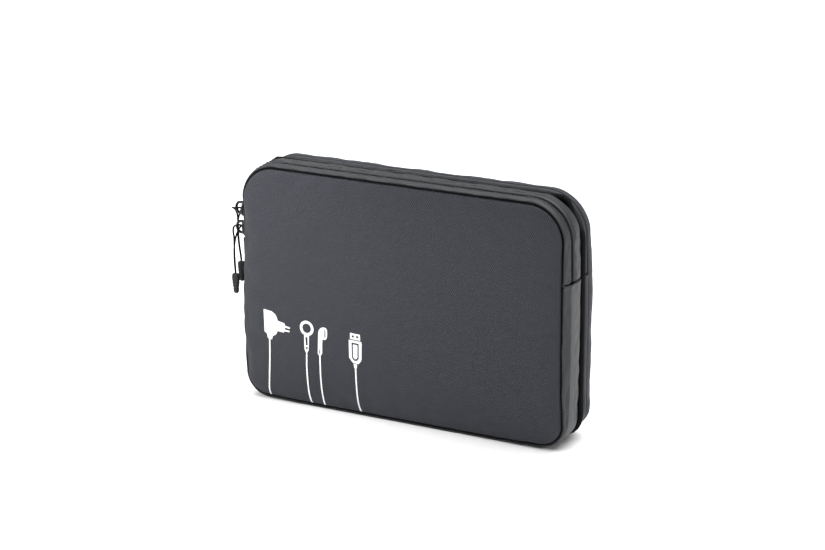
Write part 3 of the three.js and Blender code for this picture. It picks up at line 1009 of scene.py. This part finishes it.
def ribbon(name, rows, material, closed=False):
    """A surface through rows of points, with its weave laid along and across it."""
    width = len(rows[0])
    vertices = [p for row in rows for p in row]
    uvs, faces = [], []
    for r, row in enumerate(rows):
        across = sum((rows[k + 1][0] - rows[k][0]).length for k in range(r))
        along = 0.0
        for n, p in enumerate(row):
            along += (p - row[n - 1]).length if n else 0.0
            uvs.append((along, across))
    for r in range(len(rows) - 1):
        for n in range(width if closed else width - 1):
            m = (n + 1) % width
            faces.append((r * width + n, (r + 1) * width + n, (r + 1) * width + m, r * width + m))
    return new_object(name, vertices, faces, material, uvs)


def swept(name, frames, sides, material, closed=False):
    """A tube through frames, each of them a place and the two half axes of its section."""
    turns = [2 * math.pi * k / sides for k in range(sides + 1)]
    rows = [[p + a * math.cos(turn) + b * math.sin(turn) for p, a, b in frames] for turn in turns]
    return ribbon(name, rows, material, closed)


def piping(name, points, radius, material):
    """A round piping along a closed line of points, with its weave laid along it."""
    frames = []
    for n, p in enumerate(points):
        along = (points[(n + 1) % len(points)] - points[n - 1]).normalized()
        side = along.cross(Vector((0, 1, 0))).normalized()
        frames.append((p, side * radius, side.cross(along) * radius))
    return swept(name, frames, 10, material, closed=True)


def side_seam_stitches(strip, profile_rows):
    """The row of stitches across the gusset just below each folded side seam."""
    width = len(TROUGH)
    mesh = strip.data
    for name, column in (("left_side_seam_stitches", 3), ("right_side_seam_stitches", width - 4)):
        points, normals = [], []
        for v in (mesh.vertices[r * width + column] for r in profile_rows):
            normal = v.normal.copy()
            if normal.x * v.co.x < 0:
                normal = -normal
            normals.append(normal)
            points.append(v.co + normal * STITCH_LIFT)
        frames = evenly(points, normals, SEAM_STITCH_PITCH, 1.2 * MM)
        attach(beads(name, frames, SEAM_STITCH, THREAD), ON_ROOT, "black_binding")


# ---- Middle wall and what hangs on it ----
def binding_ring(name, inset_at, y, radius, carry, *nodes):
    """A round binding between two cloths. inset_at(x, z) says how far in it lies."""
    points = []
    for x, z, nx, nz in OUTLINE_POINTS:
        inset = inset_at(abs(x), z)
        points.append(settle(Vector((x - inset * nx, y, z - inset * nz))))
    attach(piping(name, points, radius, BLACK_TAPE_AND_SHADE), carry, "black_binding", *nodes)


def groove_shade_inset(x, z):
    """The groove's black binding is painted shade for the shadowed gap between the bags: it lies deep,
    and comes proud of the sides where the groove opens.
    """
    return (2.7 - 3.1 * groove_shade_shows(x, z)) * MM


def wall_face(name, y, bow, node):
    """A face of the middle wall: lining drawn over a board, rounding in at its bound edge."""
    side = 1 if bow > 0 else -1
    profile = [(8 * MM, y), (5.5 * MM, y), (4.2 * MM, y - side * 0.1 * MM),
               (DIVIDER_INSET, y - side * 0.35 * MM)]
    rows = [ring(*p) for p in profile]
    piece = grid_piece(name, filled(GRID_INSET, y), rows, profile, LINING_CLOTH, flip=side > 0)
    for v in piece.data.vertices:
        inner = smooth(DIVIDER_INSET, 26 * MM, edge_distance(v.co))
        v.co.y += bow * inner * (0.6 + 0.8 * noise.noise(v.co * 22))
        v.co = settle(v.co)
    thicken(piece, 0.35 * MM, levels=0)
    attach(piece, ON_ROOT, "lining_fabric", node)


def net_pocket():
    """A diamond net bellied by its elastic hem. Returns its surface as a function of x and z."""
    low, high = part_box("net_pocket")
    pitch = 3.4 * MM
    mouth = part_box("net_pocket_hem")[0].z + 1.5 * MM
    wide = round((high.x - low.x) / pitch)
    tall = round((mouth - low.z) / (pitch * 0.9))
    belly_depth = 4.6 * MM

    def surface(x, z):
        edge = min(x - low.x, high.x - x, (z - low.z) * 1.4)
        belly = smooth(0, 16 * MM, edge)
        ease = 0.8 + 0.25 * math.sin(x * 95) + 0.25 * noise.noise(Vector((x, 0, z)) * 60)
        return Vector((x, high.y - 0.4 * MM - belly * belly_depth * ease, z))

    vertices, faces, index = [], [], {}
    for i in range(2 * wide + 1):
        for j in range(2 * tall + 1):
            if (i + j) % 2 == 0:
                x = low.x + (high.x - low.x) * i / (2 * wide)
                z = low.z + (mouth - low.z) * j / (2 * tall)
                index[i, j] = len(vertices)
                vertices.append(surface(x, z))
    for i in range(1, 2 * wide):
        for j in range(1, 2 * tall):
            if (i + j) % 2 == 1:
                faces.append((index[i, j - 1], index[i + 1, j], index[i, j + 1], index[i - 1, j]))
    net = new_object("net_pocket_mesh", vertices, faces, NET_YARN)
    wire = net.modifiers.new("strands", "WIREFRAME")
    wire.thickness = 0.42 * MM
    wire.use_even_offset = False
    attach(net, ON_ROOT, "net", "net_pocket")
    return surface


def elastic_strip(name, node, across, along, thickness, depth_at):
    """Ribbed elastic over a CAD node's width and height. depth_at(x, v) is its Y; v runs up it."""
    low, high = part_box(node)
    xs = [low.x + (high.x - low.x) * n / along for n in range(along + 1)]
    rows = []
    for k in range(across + 1):
        v = k / across
        rows.append([Vector((x, depth_at(x, v), low.z + (high.z - low.z) * v)) for x in xs])
    strip = ribbon(name, rows, ELASTIC)
    thicken(strip, thickness, levels=0, offset=0)
    attach(strip, ON_ROOT, "elastic", node)


GATHER_PITCH = 3.1 * MM
GATHER_DEPTH = 0.28 * MM


def net_hem(surface):
    """Gathered elastic along the pocket's mouth."""
    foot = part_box("net_pocket_hem")[0].z

    def depth_at(x, v):
        gather = GATHER_DEPTH * math.sin(x * 2 * math.pi / GATHER_PITCH) * (1 - (2 * v - 1) ** 2)
        return surface(x, foot).y - 0.5 * MM + gather

    elastic_strip("net_pocket_elastic_hem", "net_pocket_hem", 8, 200, 0.9 * MM, depth_at)


TAPE_ROWS = ((-2.4, 0.25), (-1.6, 0.75), (0, 0.85), (1.6, 0.75), (2.4, 0.25))  # mm across, mm up


def net_bindings():
    """The tape that binds the pocket's two sides and its foot to the wall."""
    low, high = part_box("net_pocket")
    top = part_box("net_pocket_hem")[1].z
    corners = [Vector((x, high.y, z)) for x, z in
               ((low.x, top), (low.x, low.z), (high.x, low.z), (high.x, top))]
    for n in range(3):
        start, run = corners[n], corners[n + 1] - corners[n]
        along = run.normalized()
        rows = []
        for offset, lift in TAPE_ROWS:
            aside = Vector((-along.z * offset * MM, -lift * MM, along.x * offset * MM))
            rows.append([start + run * (t / 40) + aside for t in range(41)])
        tape = ribbon(f"net_binding_{n + 1}", rows, BLACK_TAPE_AND_SHADE)
        thicken(tape, 0.4 * MM, levels=0, offset=0)
        attach(tape, ON_ROOT, "black_binding")


LOOPS = 5
LOOP_SPAN = 30 * MM
LOOP_REST = 10 * MM


def elastic_loops():
    """One length of ribbed elastic, tacked to the wall so that it makes five loops."""
    low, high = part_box("elastic_loop_band")
    reach = high.y - low.y - 1.2 * MM

    def depth_at(x, v):
        along = (x - low.x - LOOP_REST) % (LOOP_SPAN + LOOP_REST)
        if x < low.x + LOOP_REST or along > LOOP_SPAN:
            return high.y - 0.7 * MM
        rise = reach * (1 - abs(2 * along / LOOP_SPAN - 1) ** 3.2) ** 0.75
        curl = 0.35 * MM * abs(2 * v - 1) ** 3 if rise > 0.5 * MM else 0
        return high.y - 0.7 * MM - rise + curl

    elastic_strip("elastic_loop_webbing", "elastic_loop_band", 12, 420, 1.0 * MM, depth_at)


def loop_tacks():
    """Two zigzag bar tacks between each pair of loops and at both ends of the elastic."""
    low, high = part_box("elastic_loop_band")
    out = Vector((0, -1, 0))
    tacks = []
    for k in range(LOOPS + 1):
        middle = low.x + LOOP_REST / 2 + k * (LOOP_SPAN + LOOP_REST)
        for side in (-1, 1):
            for n in range(20):
                z = low.z + (high.z - low.z) * (n + 0.5) / 20
                slant = Vector((0.8 * (1 if n % 2 else -1), 0, 0.6)).normalized()
                place = Vector((middle + side * 2.4 * MM, high.y - 1.3 * MM, z))
                tacks.append((place, slant, out.cross(slant), out))
    piece = beads("loop_bar_tacks", tacks, (1.6 * MM, 0.4 * MM, 0.35 * MM), BLACK_THREAD)
    attach(piece, ON_ROOT, "elastic")


def front_sheet(name, y, material):
    """A flat sheet behind the front panel."""
    profile = [(9 * MM, y), (6 * MM, y), (4.2 * MM, y), (3.9 * MM, y)]
    return grid_piece(name, filled(GRID_INSET, y), [ring(*p) for p in profile], profile, material)


def front_inside():
    """Foam and lining behind the front panel."""
    foam_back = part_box("front_foam_lower")[1].y
    foam = front_sheet("front_foam_pad", FOAM_Y + 0.1 * MM, FOAM)
    for v in foam.data.vertices:
        v.co = settle(v.co)
    thicken(foam, foam_back - FOAM_Y - 0.2 * MM, levels=0)
    attach(foam, ON_FRONT_FLAP, "foam", "front_foam_lower", "front_foam_flap")

    lining = front_sheet("front_lining_cloth", LINING_Y - 0.1 * MM, LINING_CLOTH)
    for v in lining.data.vertices:
        inner = smooth(3.8 * MM, 20 * MM, edge_distance(v.co))
        v.co.y += 0.9 * MM * inner * max(0.0, 0.3 + noise.noise(v.co * 30))
        v.co = settle(v.co)
    thicken(lining, 0.3 * MM, levels=0, offset=0)
    attach(lining, ON_FRONT_FLAP, "lining_fabric", "front_lining_lower", "front_lining_flap")


# ---- Sliders, cords and tips ----
CORD_DIAMETER = 1.3 * MM
CORD_ROUTES = {
    "front_lower": [
        (-132.1, -17.4, 87.1), (-132.3, -17.7, 93), (-132.4, -17.8, 100), (-132.1, -17.8, 106.5),
        (-131, -17.7, 112.5), (-129.7, -17.1, 116.8), (-129, -16.1, 119.3), (-128.75, -14.2, 120.4),
        (-129.54, -12.29, 120.6), (-131.45, -11.5, 120.6), (-133.36, -12.29, 120.3),
        (-134.15, -14.2, 119.7), (-133.8, -15.9, 117.6), (-133, -16.4, 113), (-133.1, -16.3, 106.5),
        (-133.2, -16.2, 100), (-133.1, -16.1, 93), (-132.9, -15.9, 87.1),
    ],
    "front_upper": [
        (-131.4, -10.5, 94.2), (-131.9, -10.5, 98.5), (-132.7, -10.5, 104.6), (-133.3, -10.5, 111),
        (-133.3, -10.4, 119), (-132.6, -10.3, 125.6), (-130.8, -10.5, 130), (-129.1, -11.8, 133),
        (-128.75, -14.2, 134.2), (-129.54, -16.11, 134.4), (-131.45, -16.9, 134.4),
        (-133.36, -16.11, 134.1), (-134.15, -14.2, 133.5), (-134.1, -11.9, 131.6), (-134, -9.9, 128),
        (-134.1, -9, 123), (-134.1, -8.9, 117), (-134, -9, 111), (-133.5, -9, 104.6),
        (-132.7, -9, 98.5), (-132.2, -9, 94.2),
    ],
    "rear": [
        (-131, 13, 88), (-130.5, 13.4, 96), (-130.2, 13.6, 104), (-130.6, 13.1, 110.5),
        (-130.6, 12, 115.2), (-129.1, 10.7, 118.2), (-128.75, 8.25, 119.4), (-129.54, 6.34, 119.6),
        (-131.45, 5.55, 119.6), (-133.36, 6.34, 119.3), (-134.15, 8.25, 118.7), (-134.1, 10.6, 116.8),
        (-133.8, 12.5, 113.2), (-133.3, 13.3, 108), (-132.7, 13.6, 102), (-132.5, 13.4, 95),
        (-132.6, 13, 88),
    ],
}


def rounded_path(points, cuts):
    """A smooth line through given points, cut between each two of them."""
    out = []
    for n in range(len(points) - 1):
        a, b = points[max(n - 1, 0)], points[n]
        c, d = points[n + 1], points[min(n + 2, len(points) - 1)]
        for k in range(cuts):
            t = k / cuts
            out.append((2 * b + (c - a) * t + (2 * a - 5 * b + 4 * c - d) * t * t
                        + (3 * b - a - 3 * c + d) * t ** 3) * 0.5)
    return out + [points[-1]]


def curve_length(points):
    path = rounded_path(points, 12)
    return sum((after - before).length for before, after in zip(path, path[1:]))


def pull_cord(pull, tip):
    """The cord looped through a slider's crown, both ends held in a moulded tip."""
    points = [Vector(p) * MM for p in CORD_ROUTES[pull]]
    data = bpy.data.curves.new(f"{pull}_pull_braid", "CURVE")
    data.dimensions = "3D"
    data.bevel_depth = CORD_DIAMETER / 2
    data.bevel_resolution = 5
    data.resolution_u = 10
    spline = data.splines.new("BEZIER")
    spline.bezier_points.add(len(points) - 1)
    for bezier, p in zip(spline.bezier_points, points):
        bezier.co = p
        bezier.handle_left_type = bezier.handle_right_type = "AUTO"
    data.use_fill_caps = True
    data.materials.append(CORD_YARN)
    cord = linked(data.name, data)
    attach(cord, riding(f"{pull}_pull"), "cord", f"{pull}_pull_cord")
    curve_length(points)


def squircle(angle, power):
    """A point of a rounded square whose sides are 1 from its middle."""
    a, b = math.cos(angle), math.sin(angle)
    grow = (abs(a) ** power + abs(b) ** power) ** (-1 / power)
    return a * grow, b * grow


TIP_CAP = 0.09  # part of the tip's length that rounds off at each end
TIP_GROOVES = (0.3, 0.45, 0.6)
TIP_COLLAR = 0.86


def tip_girth(t):
    """The tip's girth from its foot at 0 to its collar at 1."""
    cap = math.sqrt(1 - (1 - min(1.0, min(t, 1 - t) / TIP_CAP)) ** 2)
    taper = 0.66 + 0.34 * smooth(0.0, 0.75, t)
    groove = sum(0.12 * math.exp(-((t - place) / 0.025) ** 2) for place in TIP_GROOVES)
    collar = 0.06 if t > TIP_COLLAR else 0.0
    return (taper - groove - collar) * max(cap, 0.12)


def pull_tip(pull):
    """A moulded tip: rounded, waisted below its collar, with three grip grooves."""
    low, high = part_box(f"{pull}_pull_tip")
    middle = (low + high) / 2
    wide, deep = (high.x - low.x) / 2, (high.y - low.y) / 2
    steps, sides = 40, 24
    vertices = []
    for k in range(steps + 1):
        t = k / steps
        girth = tip_girth(t)
        thick = min(1.0, girth * 1.25 * (0.88 + 0.12 * smooth(0, 0.75, t)))
        for s in range(sides):
            a, b = squircle(2 * math.pi * s / sides, 3.2)
            z = low.z + (high.z - low.z) * t
            vertices.append(Vector((middle.x + wide * girth * a, middle.y + deep * thick * b, z)))
    faces = barrel_faces(steps + 1, sides)
    tip = new_object(f"{pull}_pull_moulded_tip", vertices, faces, TIP_PLASTIC)
    attach(tip, riding(f"{pull}_pull"), "pull_tip_plastic", f"{pull}_pull_tip")
    return tip


def bevelled(obj, width):
    bevel = obj.modifiers.new("edges", "BEVEL")
    bevel.width = width
    bevel.segments = 3
    bevel.limit_method = "ANGLE"
    bevel.angle_limit = math.radians(35)


def prism(name, outline, x_low, x_high, material):
    """A plate whose (y, z) outline is drawn out along X."""
    count = len(outline)
    vertices = [Vector((x, y, z)) for x in (x_low, x_high) for y, z in outline]
    faces = [tuple(range(count)), tuple(reversed(range(count, 2 * count)))]
    for n in range(count):
        m = (n + 1) % count
        faces.append((n, n + count, m + count, m))
    return new_object(name, vertices, faces, material)


SLIDER_DEPTH = 3.4 * MM  # from its deck to its back
CROWN_WIDTH = 2.2 * MM
CROWN_RADIUS = 0.95 * MM
CROWN_HALF_SPAN = 4.1 * MM


def zip_slider(body, nose):
    """A cast slider: a waisted plate, a second one under it and a bridge. nose is 1 or -1 in Z."""
    low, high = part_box(body)
    middle = (low + high) / 2
    half_y, half_z = (high.y - low.y) / 2, (high.z - low.z) / 2
    steps = 40
    outline = []
    for k in range(steps):
        a, b = squircle(2 * math.pi * k / steps, 2.8)
        waist = 0.80 + 0.20 * smooth(-0.7, 0.8, b)
        outline.append((half_y * a * waist, nose * half_z * b))
    if nose < 0:
        outline.reverse()
    deck = high.x - SLIDER_DEPTH
    for part, wide, tall, front, back, rounding, nodes in (
        ("top_plate", 1.0, 1.0, deck, deck + 1.5 * MM, 0.45 * MM, [body]),
        ("under_plate", 0.92, 0.92, high.x - 0.9 * MM, high.x - 0.1 * MM, 0.25 * MM, []),
        ("bridge", 0.5, 0.86, deck - 0.7 * MM, high.x - 0.5 * MM, 0.5 * MM, []),
    ):
        shape = [(middle.y + y * wide, middle.z + z * tall) for y, z in outline]
        plate = prism(f"{body}_{part}", shape, front, back, SLIDER_METAL)
        bevelled(plate, rounding)
        attach(plate, riding(body), "slider_metal", *nodes)
    slider_crown(body, middle, deck - 0.2 * MM, low.x + CROWN_RADIUS)


def slider_crown(body, middle, foot, reach):
    """The arched bar on a slider that the cord goes through."""
    points = []
    for k in range(25):
        angle = math.pi * k / 24
        x = foot + (reach - foot) * math.sin(angle) ** 0.55
        points.append(Vector((x, middle.y, middle.z + math.cos(angle) * CROWN_HALF_SPAN)))
    aside = Vector((0, CROWN_WIDTH / 2, 0))
    frames = []
    for n, p in enumerate(points):
        after, before = points[min(n + 1, len(points) - 1)], points[max(n - 1, 0)]
        out = (after - before).normalized().cross(Vector((0, 1, 0)))
        frames.append((p, out * CROWN_RADIUS, aside))
    attach(swept(f"{body}_crown", frames, 16, SLIDER_METAL), riding(body), "slider_metal")


# ---- Printed pictograms ----
INK_LIFT = 0.12 * MM
STROKE = 1.15  # mm, like every size in the prints


def stroke(points):
    """The outline of a stroke of even width along a smooth line."""
    path = rounded_path([Vector(p) for p in points], 8)
    left, right = [], []
    for n, p in enumerate(path):
        before, after = path[max(n - 1, 0)], path[min(n + 1, len(path) - 1)]
        along = (after - before).normalized()
        aside = Vector((-along.y, along.x)) * STROKE / 2
        left.append(p + aside)
        right.append(p - aside)
    return left + right[::-1]


def circle(x, z, radius):
    turns = [2 * math.pi * k / 36 for k in range(36)]
    return [(x + radius * math.cos(turn), z + radius * math.sin(turn)) for turn in turns]


def softened(points, radius):
    """A polygon with its corners rounded off."""
    steps = 4
    out = []
    points = [Vector(p) for p in points]
    for n, p in enumerate(points):
        before, after = points[n - 1], points[(n + 1) % len(points)]
        cut = min(radius, (before - p).length * 0.45, (after - p).length * 0.45)
        a = p + (before - p).normalized() * cut
        b = p + (after - p).normalized() * cut
        for k in range(steps + 1):
            t = k / steps
            out.append(a * (1 - t) ** 2 + p * 2 * t * (1 - t) + b * t * t)
    return out


def printed(name, loops, surface):
    """A white print: closed loops in the panel's X and Z, in mm, laid on the cloth's surface."""
    data = bpy.data.curves.new(name, "CURVE")
    data.dimensions = "2D"
    data.fill_mode = "BOTH"
    for loop in loops:
        spline = data.splines.new("POLY")
        spline.points.add(len(loop) - 1)
        for place, p in zip(spline.points, loop):
            place.co = (p[0] * MM, p[1] * MM, 0, 1)
        spline.use_cyclic_u = True
    flat = linked(name, data)
    depsgraph = bpy.context.evaluated_depsgraph_get()
    mesh = bpy.data.meshes.new_from_object(flat.evaluated_get(depsgraph))
    bpy.data.objects.remove(flat)
    mesh.name = name
    for v in mesh.vertices:
        x, z = v.co.x, v.co.y
        hit = surface.ray_cast(Vector((x, -0.1, z)), Vector((0, 1, 0)))[0]
        if hit is None:
            hit = surface.find_nearest(Vector((x, FRONT, z)))[0]
        v.co = (hit.x, hit.y - INK_LIFT, hit.z)
    mesh.shade_smooth()
    mesh.materials.clear()
    mesh.materials.append(INK)
    attach(linked(name, mesh), ON_ROOT, "panel_fabric")


RING = (-70.4, 58.4)
PRINTS = {  # closed loops; an inner loop leaves a hole
    "mains_plug_print": [softened([
        (-105, 67.2), (-98.4, 66.4), (-95.6, 64.8), (-94.1, 62.2), (-93.8, 60.2), (-88, 59.2),
        (-88, 57.5), (-83.8, 56.9), (-84, 55.7), (-88, 56.1), (-88.2, 54.8), (-84.1, 54.3),
        (-84.4, 53.1), (-88.4, 53.4), (-88.8, 52.2), (-94.1, 52.7), (-94.9, 50.2), (-98.1, 48.3),
        (-98.6, 45.6), (-102.1, 46), (-102.7, 49.6), (-104.7, 50.6)], 0.7)],
    "mains_plug_cord_print": [
        stroke([(-100.6, 46), (-101, 33.8), (-102, 18.7), (-102.8, 8.3), (-102.6, 1.6)])],
    "ring_print": [circle(*RING, 5.5), circle(*RING, 3.4)],
    "ring_stem_print": [
        softened([(-72.7, 53.6), (-72.6, 42.6), (-71, 39.6), (-69.3, 42.4), (-68.6, 53.4)], 0.4),
        softened([(-71.6, 52), (-71.4, 46), (-70, 46), (-69.9, 52)], 0.2),
        softened([(-71.4, 44.8), (-71.2, 42.9), (-70.2, 42.9), (-70, 44.8)], 0.2)],
    "ring_cord_print": [stroke([(-71, 40), (-71.3, 26.9), (-70.7, 12.1), (-69.7, 5), (-68.8, 1.6)])],
    "earpiece_print": [
        softened([(-61.2, 57.4), (-59.8, 60), (-57.6, 61.2), (-54.9, 61), (-54.1, 59), (-54.3, 54),
                  (-55.8, 51.9), (-58, 52.6), (-58.4, 47), (-58.5, 41.6), (-60.4, 39.4),
                  (-62.1, 40.9), (-61.9, 44), (-61.6, 51)], 1.0),
        softened([(-56.3, 59.6), (-55.5, 59.6), (-55.6, 53.8), (-56.4, 53.8)], 0.2),
        softened([(-60.7, 44.6), (-59.9, 44.6), (-60, 41.4), (-60.8, 41.4)], 0.2)],
    "earpiece_cord_print": [stroke([(-60.4, 40), (-60.5, 22.8), (-59.5, 8.2), (-58.6, 1.6)])],
    "data_plug_shell_print": [
        softened([(-36.2, 60.6), (-28.4, 60.4), (-28.2, 56), (-36.3, 56.2)], 0.5),
        softened([(-34.8, 59.1), (-33.2, 59.1), (-33.2, 57.5), (-34.8, 57.5)], 0.2),
        softened([(-31.4, 59.1), (-29.8, 59.1), (-29.8, 57.5), (-31.4, 57.5)], 0.2)],
    "data_plug_body_print": [
        softened([(-37.3, 55.6), (-27.2, 55.3), (-27.5, 41.9), (-29.8, 38.8), (-34.2, 38.8),
                  (-37.3, 42.4)], 0.9),
        softened([(-35.1, 53.8), (-29.5, 53.6), (-29.7, 42.8), (-31.2, 40.8), (-33.6, 40.8),
                  (-35.1, 42.9)], 0.7),
        softened([(-34.1, 52.6), (-30.5, 52.5), (-30.7, 43.4), (-31.7, 42.1), (-33.1, 42.1),
                  (-34.1, 43.5)], 0.5)],
    "data_plug_relief_print": [
        softened([(-33.9, 38.4), (-31.1, 38.4), (-31.5, 35.2), (-33.4, 35.2)], 0.3)],
    "data_plug_cord_print": [stroke([(-32.4, 35.6), (-32.3, 21.7), (-31.6, 8.9), (-29.8, 1.6)])],
}


def pictograms(panel):
    """Four plain pictograms: a mains plug, a ring tag, an earpiece and a data plug."""
    surface = BVHTree.FromObject(panel, bpy.context.evaluated_depsgraph_get())
    for name, loops in PRINTS.items():
        printed(name, loops, surface)


# ---- The studio ----
SKY_STRENGTH = 0.22
OVERHEAD_STRENGTH = 5.2
AREA_LIGHTS = (  # name, place, target, size, watts and spread in degrees
    ("key", (-0.34, -0.42, 0.40), (-0.11, 0, 0.14), 0.25, 0.36, 48),
    ("side", (1.15, 0.1, 0.45), (0.1, 0, 0.09), 0.5, 0.92, 120),
)


def floor_and_light():
    bpy.ops.mesh.primitive_plane_add(size=8)
    floor = bpy.context.object
    floor.name = "floor"
    floor.location.z = -0.05 * MM
    nodes = Nodes("floor_white", (0.93, 0.93, 0.93), 0.7, specular=0.05)
    floor.data.materials.append(nodes.material)
    world = bpy.data.worlds.new("studio")
    bpy.context.scene.world = world
    world.use_nodes = True
    background = world.node_tree.nodes["Background"]
    background.inputs["Color"].default_value = (1, 1, 1, 1)
    background.inputs["Strength"].default_value = SKY_STRENGTH
    overhead = bpy.data.lights.new("overhead", "SUN")
    overhead.energy = OVERHEAD_STRENGTH
    overhead.angle = math.radians(70)
    sky = linked("overhead", overhead)
    sky.rotation_euler = (math.radians(-12), math.radians(5), 0)
    for name, place, target, size, power, spread in AREA_LIGHTS:
        data = bpy.data.lights.new(name, "AREA")
        data.size = size
        data.energy = power
        data.spread = math.radians(spread)
        light = linked(name, data)
        light.location = place
        aim = Vector(target) - Vector(place)
        light.rotation_euler = aim.to_track_quat("-Z", "Y").to_euler()
    bpy.context.scene.view_settings.view_transform = "Standard"


def build():
    add_camera()
    for pull in CORD_ROUTES:
        pull_cord(pull, pull_tip(pull))
    panel = front_compartment()
    rear_compartment()
    front_inside()
    binding_ring("front_seam_binding", lambda x, z: 1.8 * MM, FRONT + 2.7 * MM, 0.75 * MM,
                 ON_FRONT_FLAP, "front_welt_lower", "front_welt_flap")
    # The black piping in the groove is painted shade: a dark ring put where the gap between the bags
    # is only in shadow.
    binding_ring("groove_binding", groove_shade_inset, REAR_START, 2.1 * MM, ON_ROOT)
    wall_face("divider_front_lining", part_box("divider_front_cover")[0].y, -0.3 * MM,
              "divider_front_cover")
    wall_face("divider_rear_lining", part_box("divider_rear_cover")[1].y, 0.3 * MM,
              "divider_rear_cover")
    net_hem(net_pocket())
    net_bindings()
    elastic_loops()
    loop_tacks()
    for name, y, depth, side, carry, node in (
        ("front_coil_front", FRONT_ZIP, FRONT_COIL_DEPTH, -1, ON_FRONT_FLAP, "front_zip_coil_flap"),
        ("front_coil_rear", FRONT_ZIP, FRONT_COIL_DEPTH, 1, ON_ROOT, "front_zip_coil_body"),
        ("rear_coil_front", REAR_ZIP, REAR_COIL_DEPTH, -1, ON_ROOT, "rear_zip_coil_body"),
        ("rear_coil_rear", REAR_ZIP, REAR_COIL_DEPTH, 1, ON_REAR_FLAP, "rear_zip_coil_flap"),
    ):
        coil(name, y, depth, side, carry, node)
    zip_slider("front_lower_slider", 1)
    zip_slider("front_upper_slider", -1)
    zip_slider("rear_slider", 1)
    pictograms(panel)
    board = next(o for o in bpy.data.objects if o.name == "divider_board")
    board.data.materials.clear()
    board.data.materials.append(LINING_CLOTH)
    floor_and_light()


build()
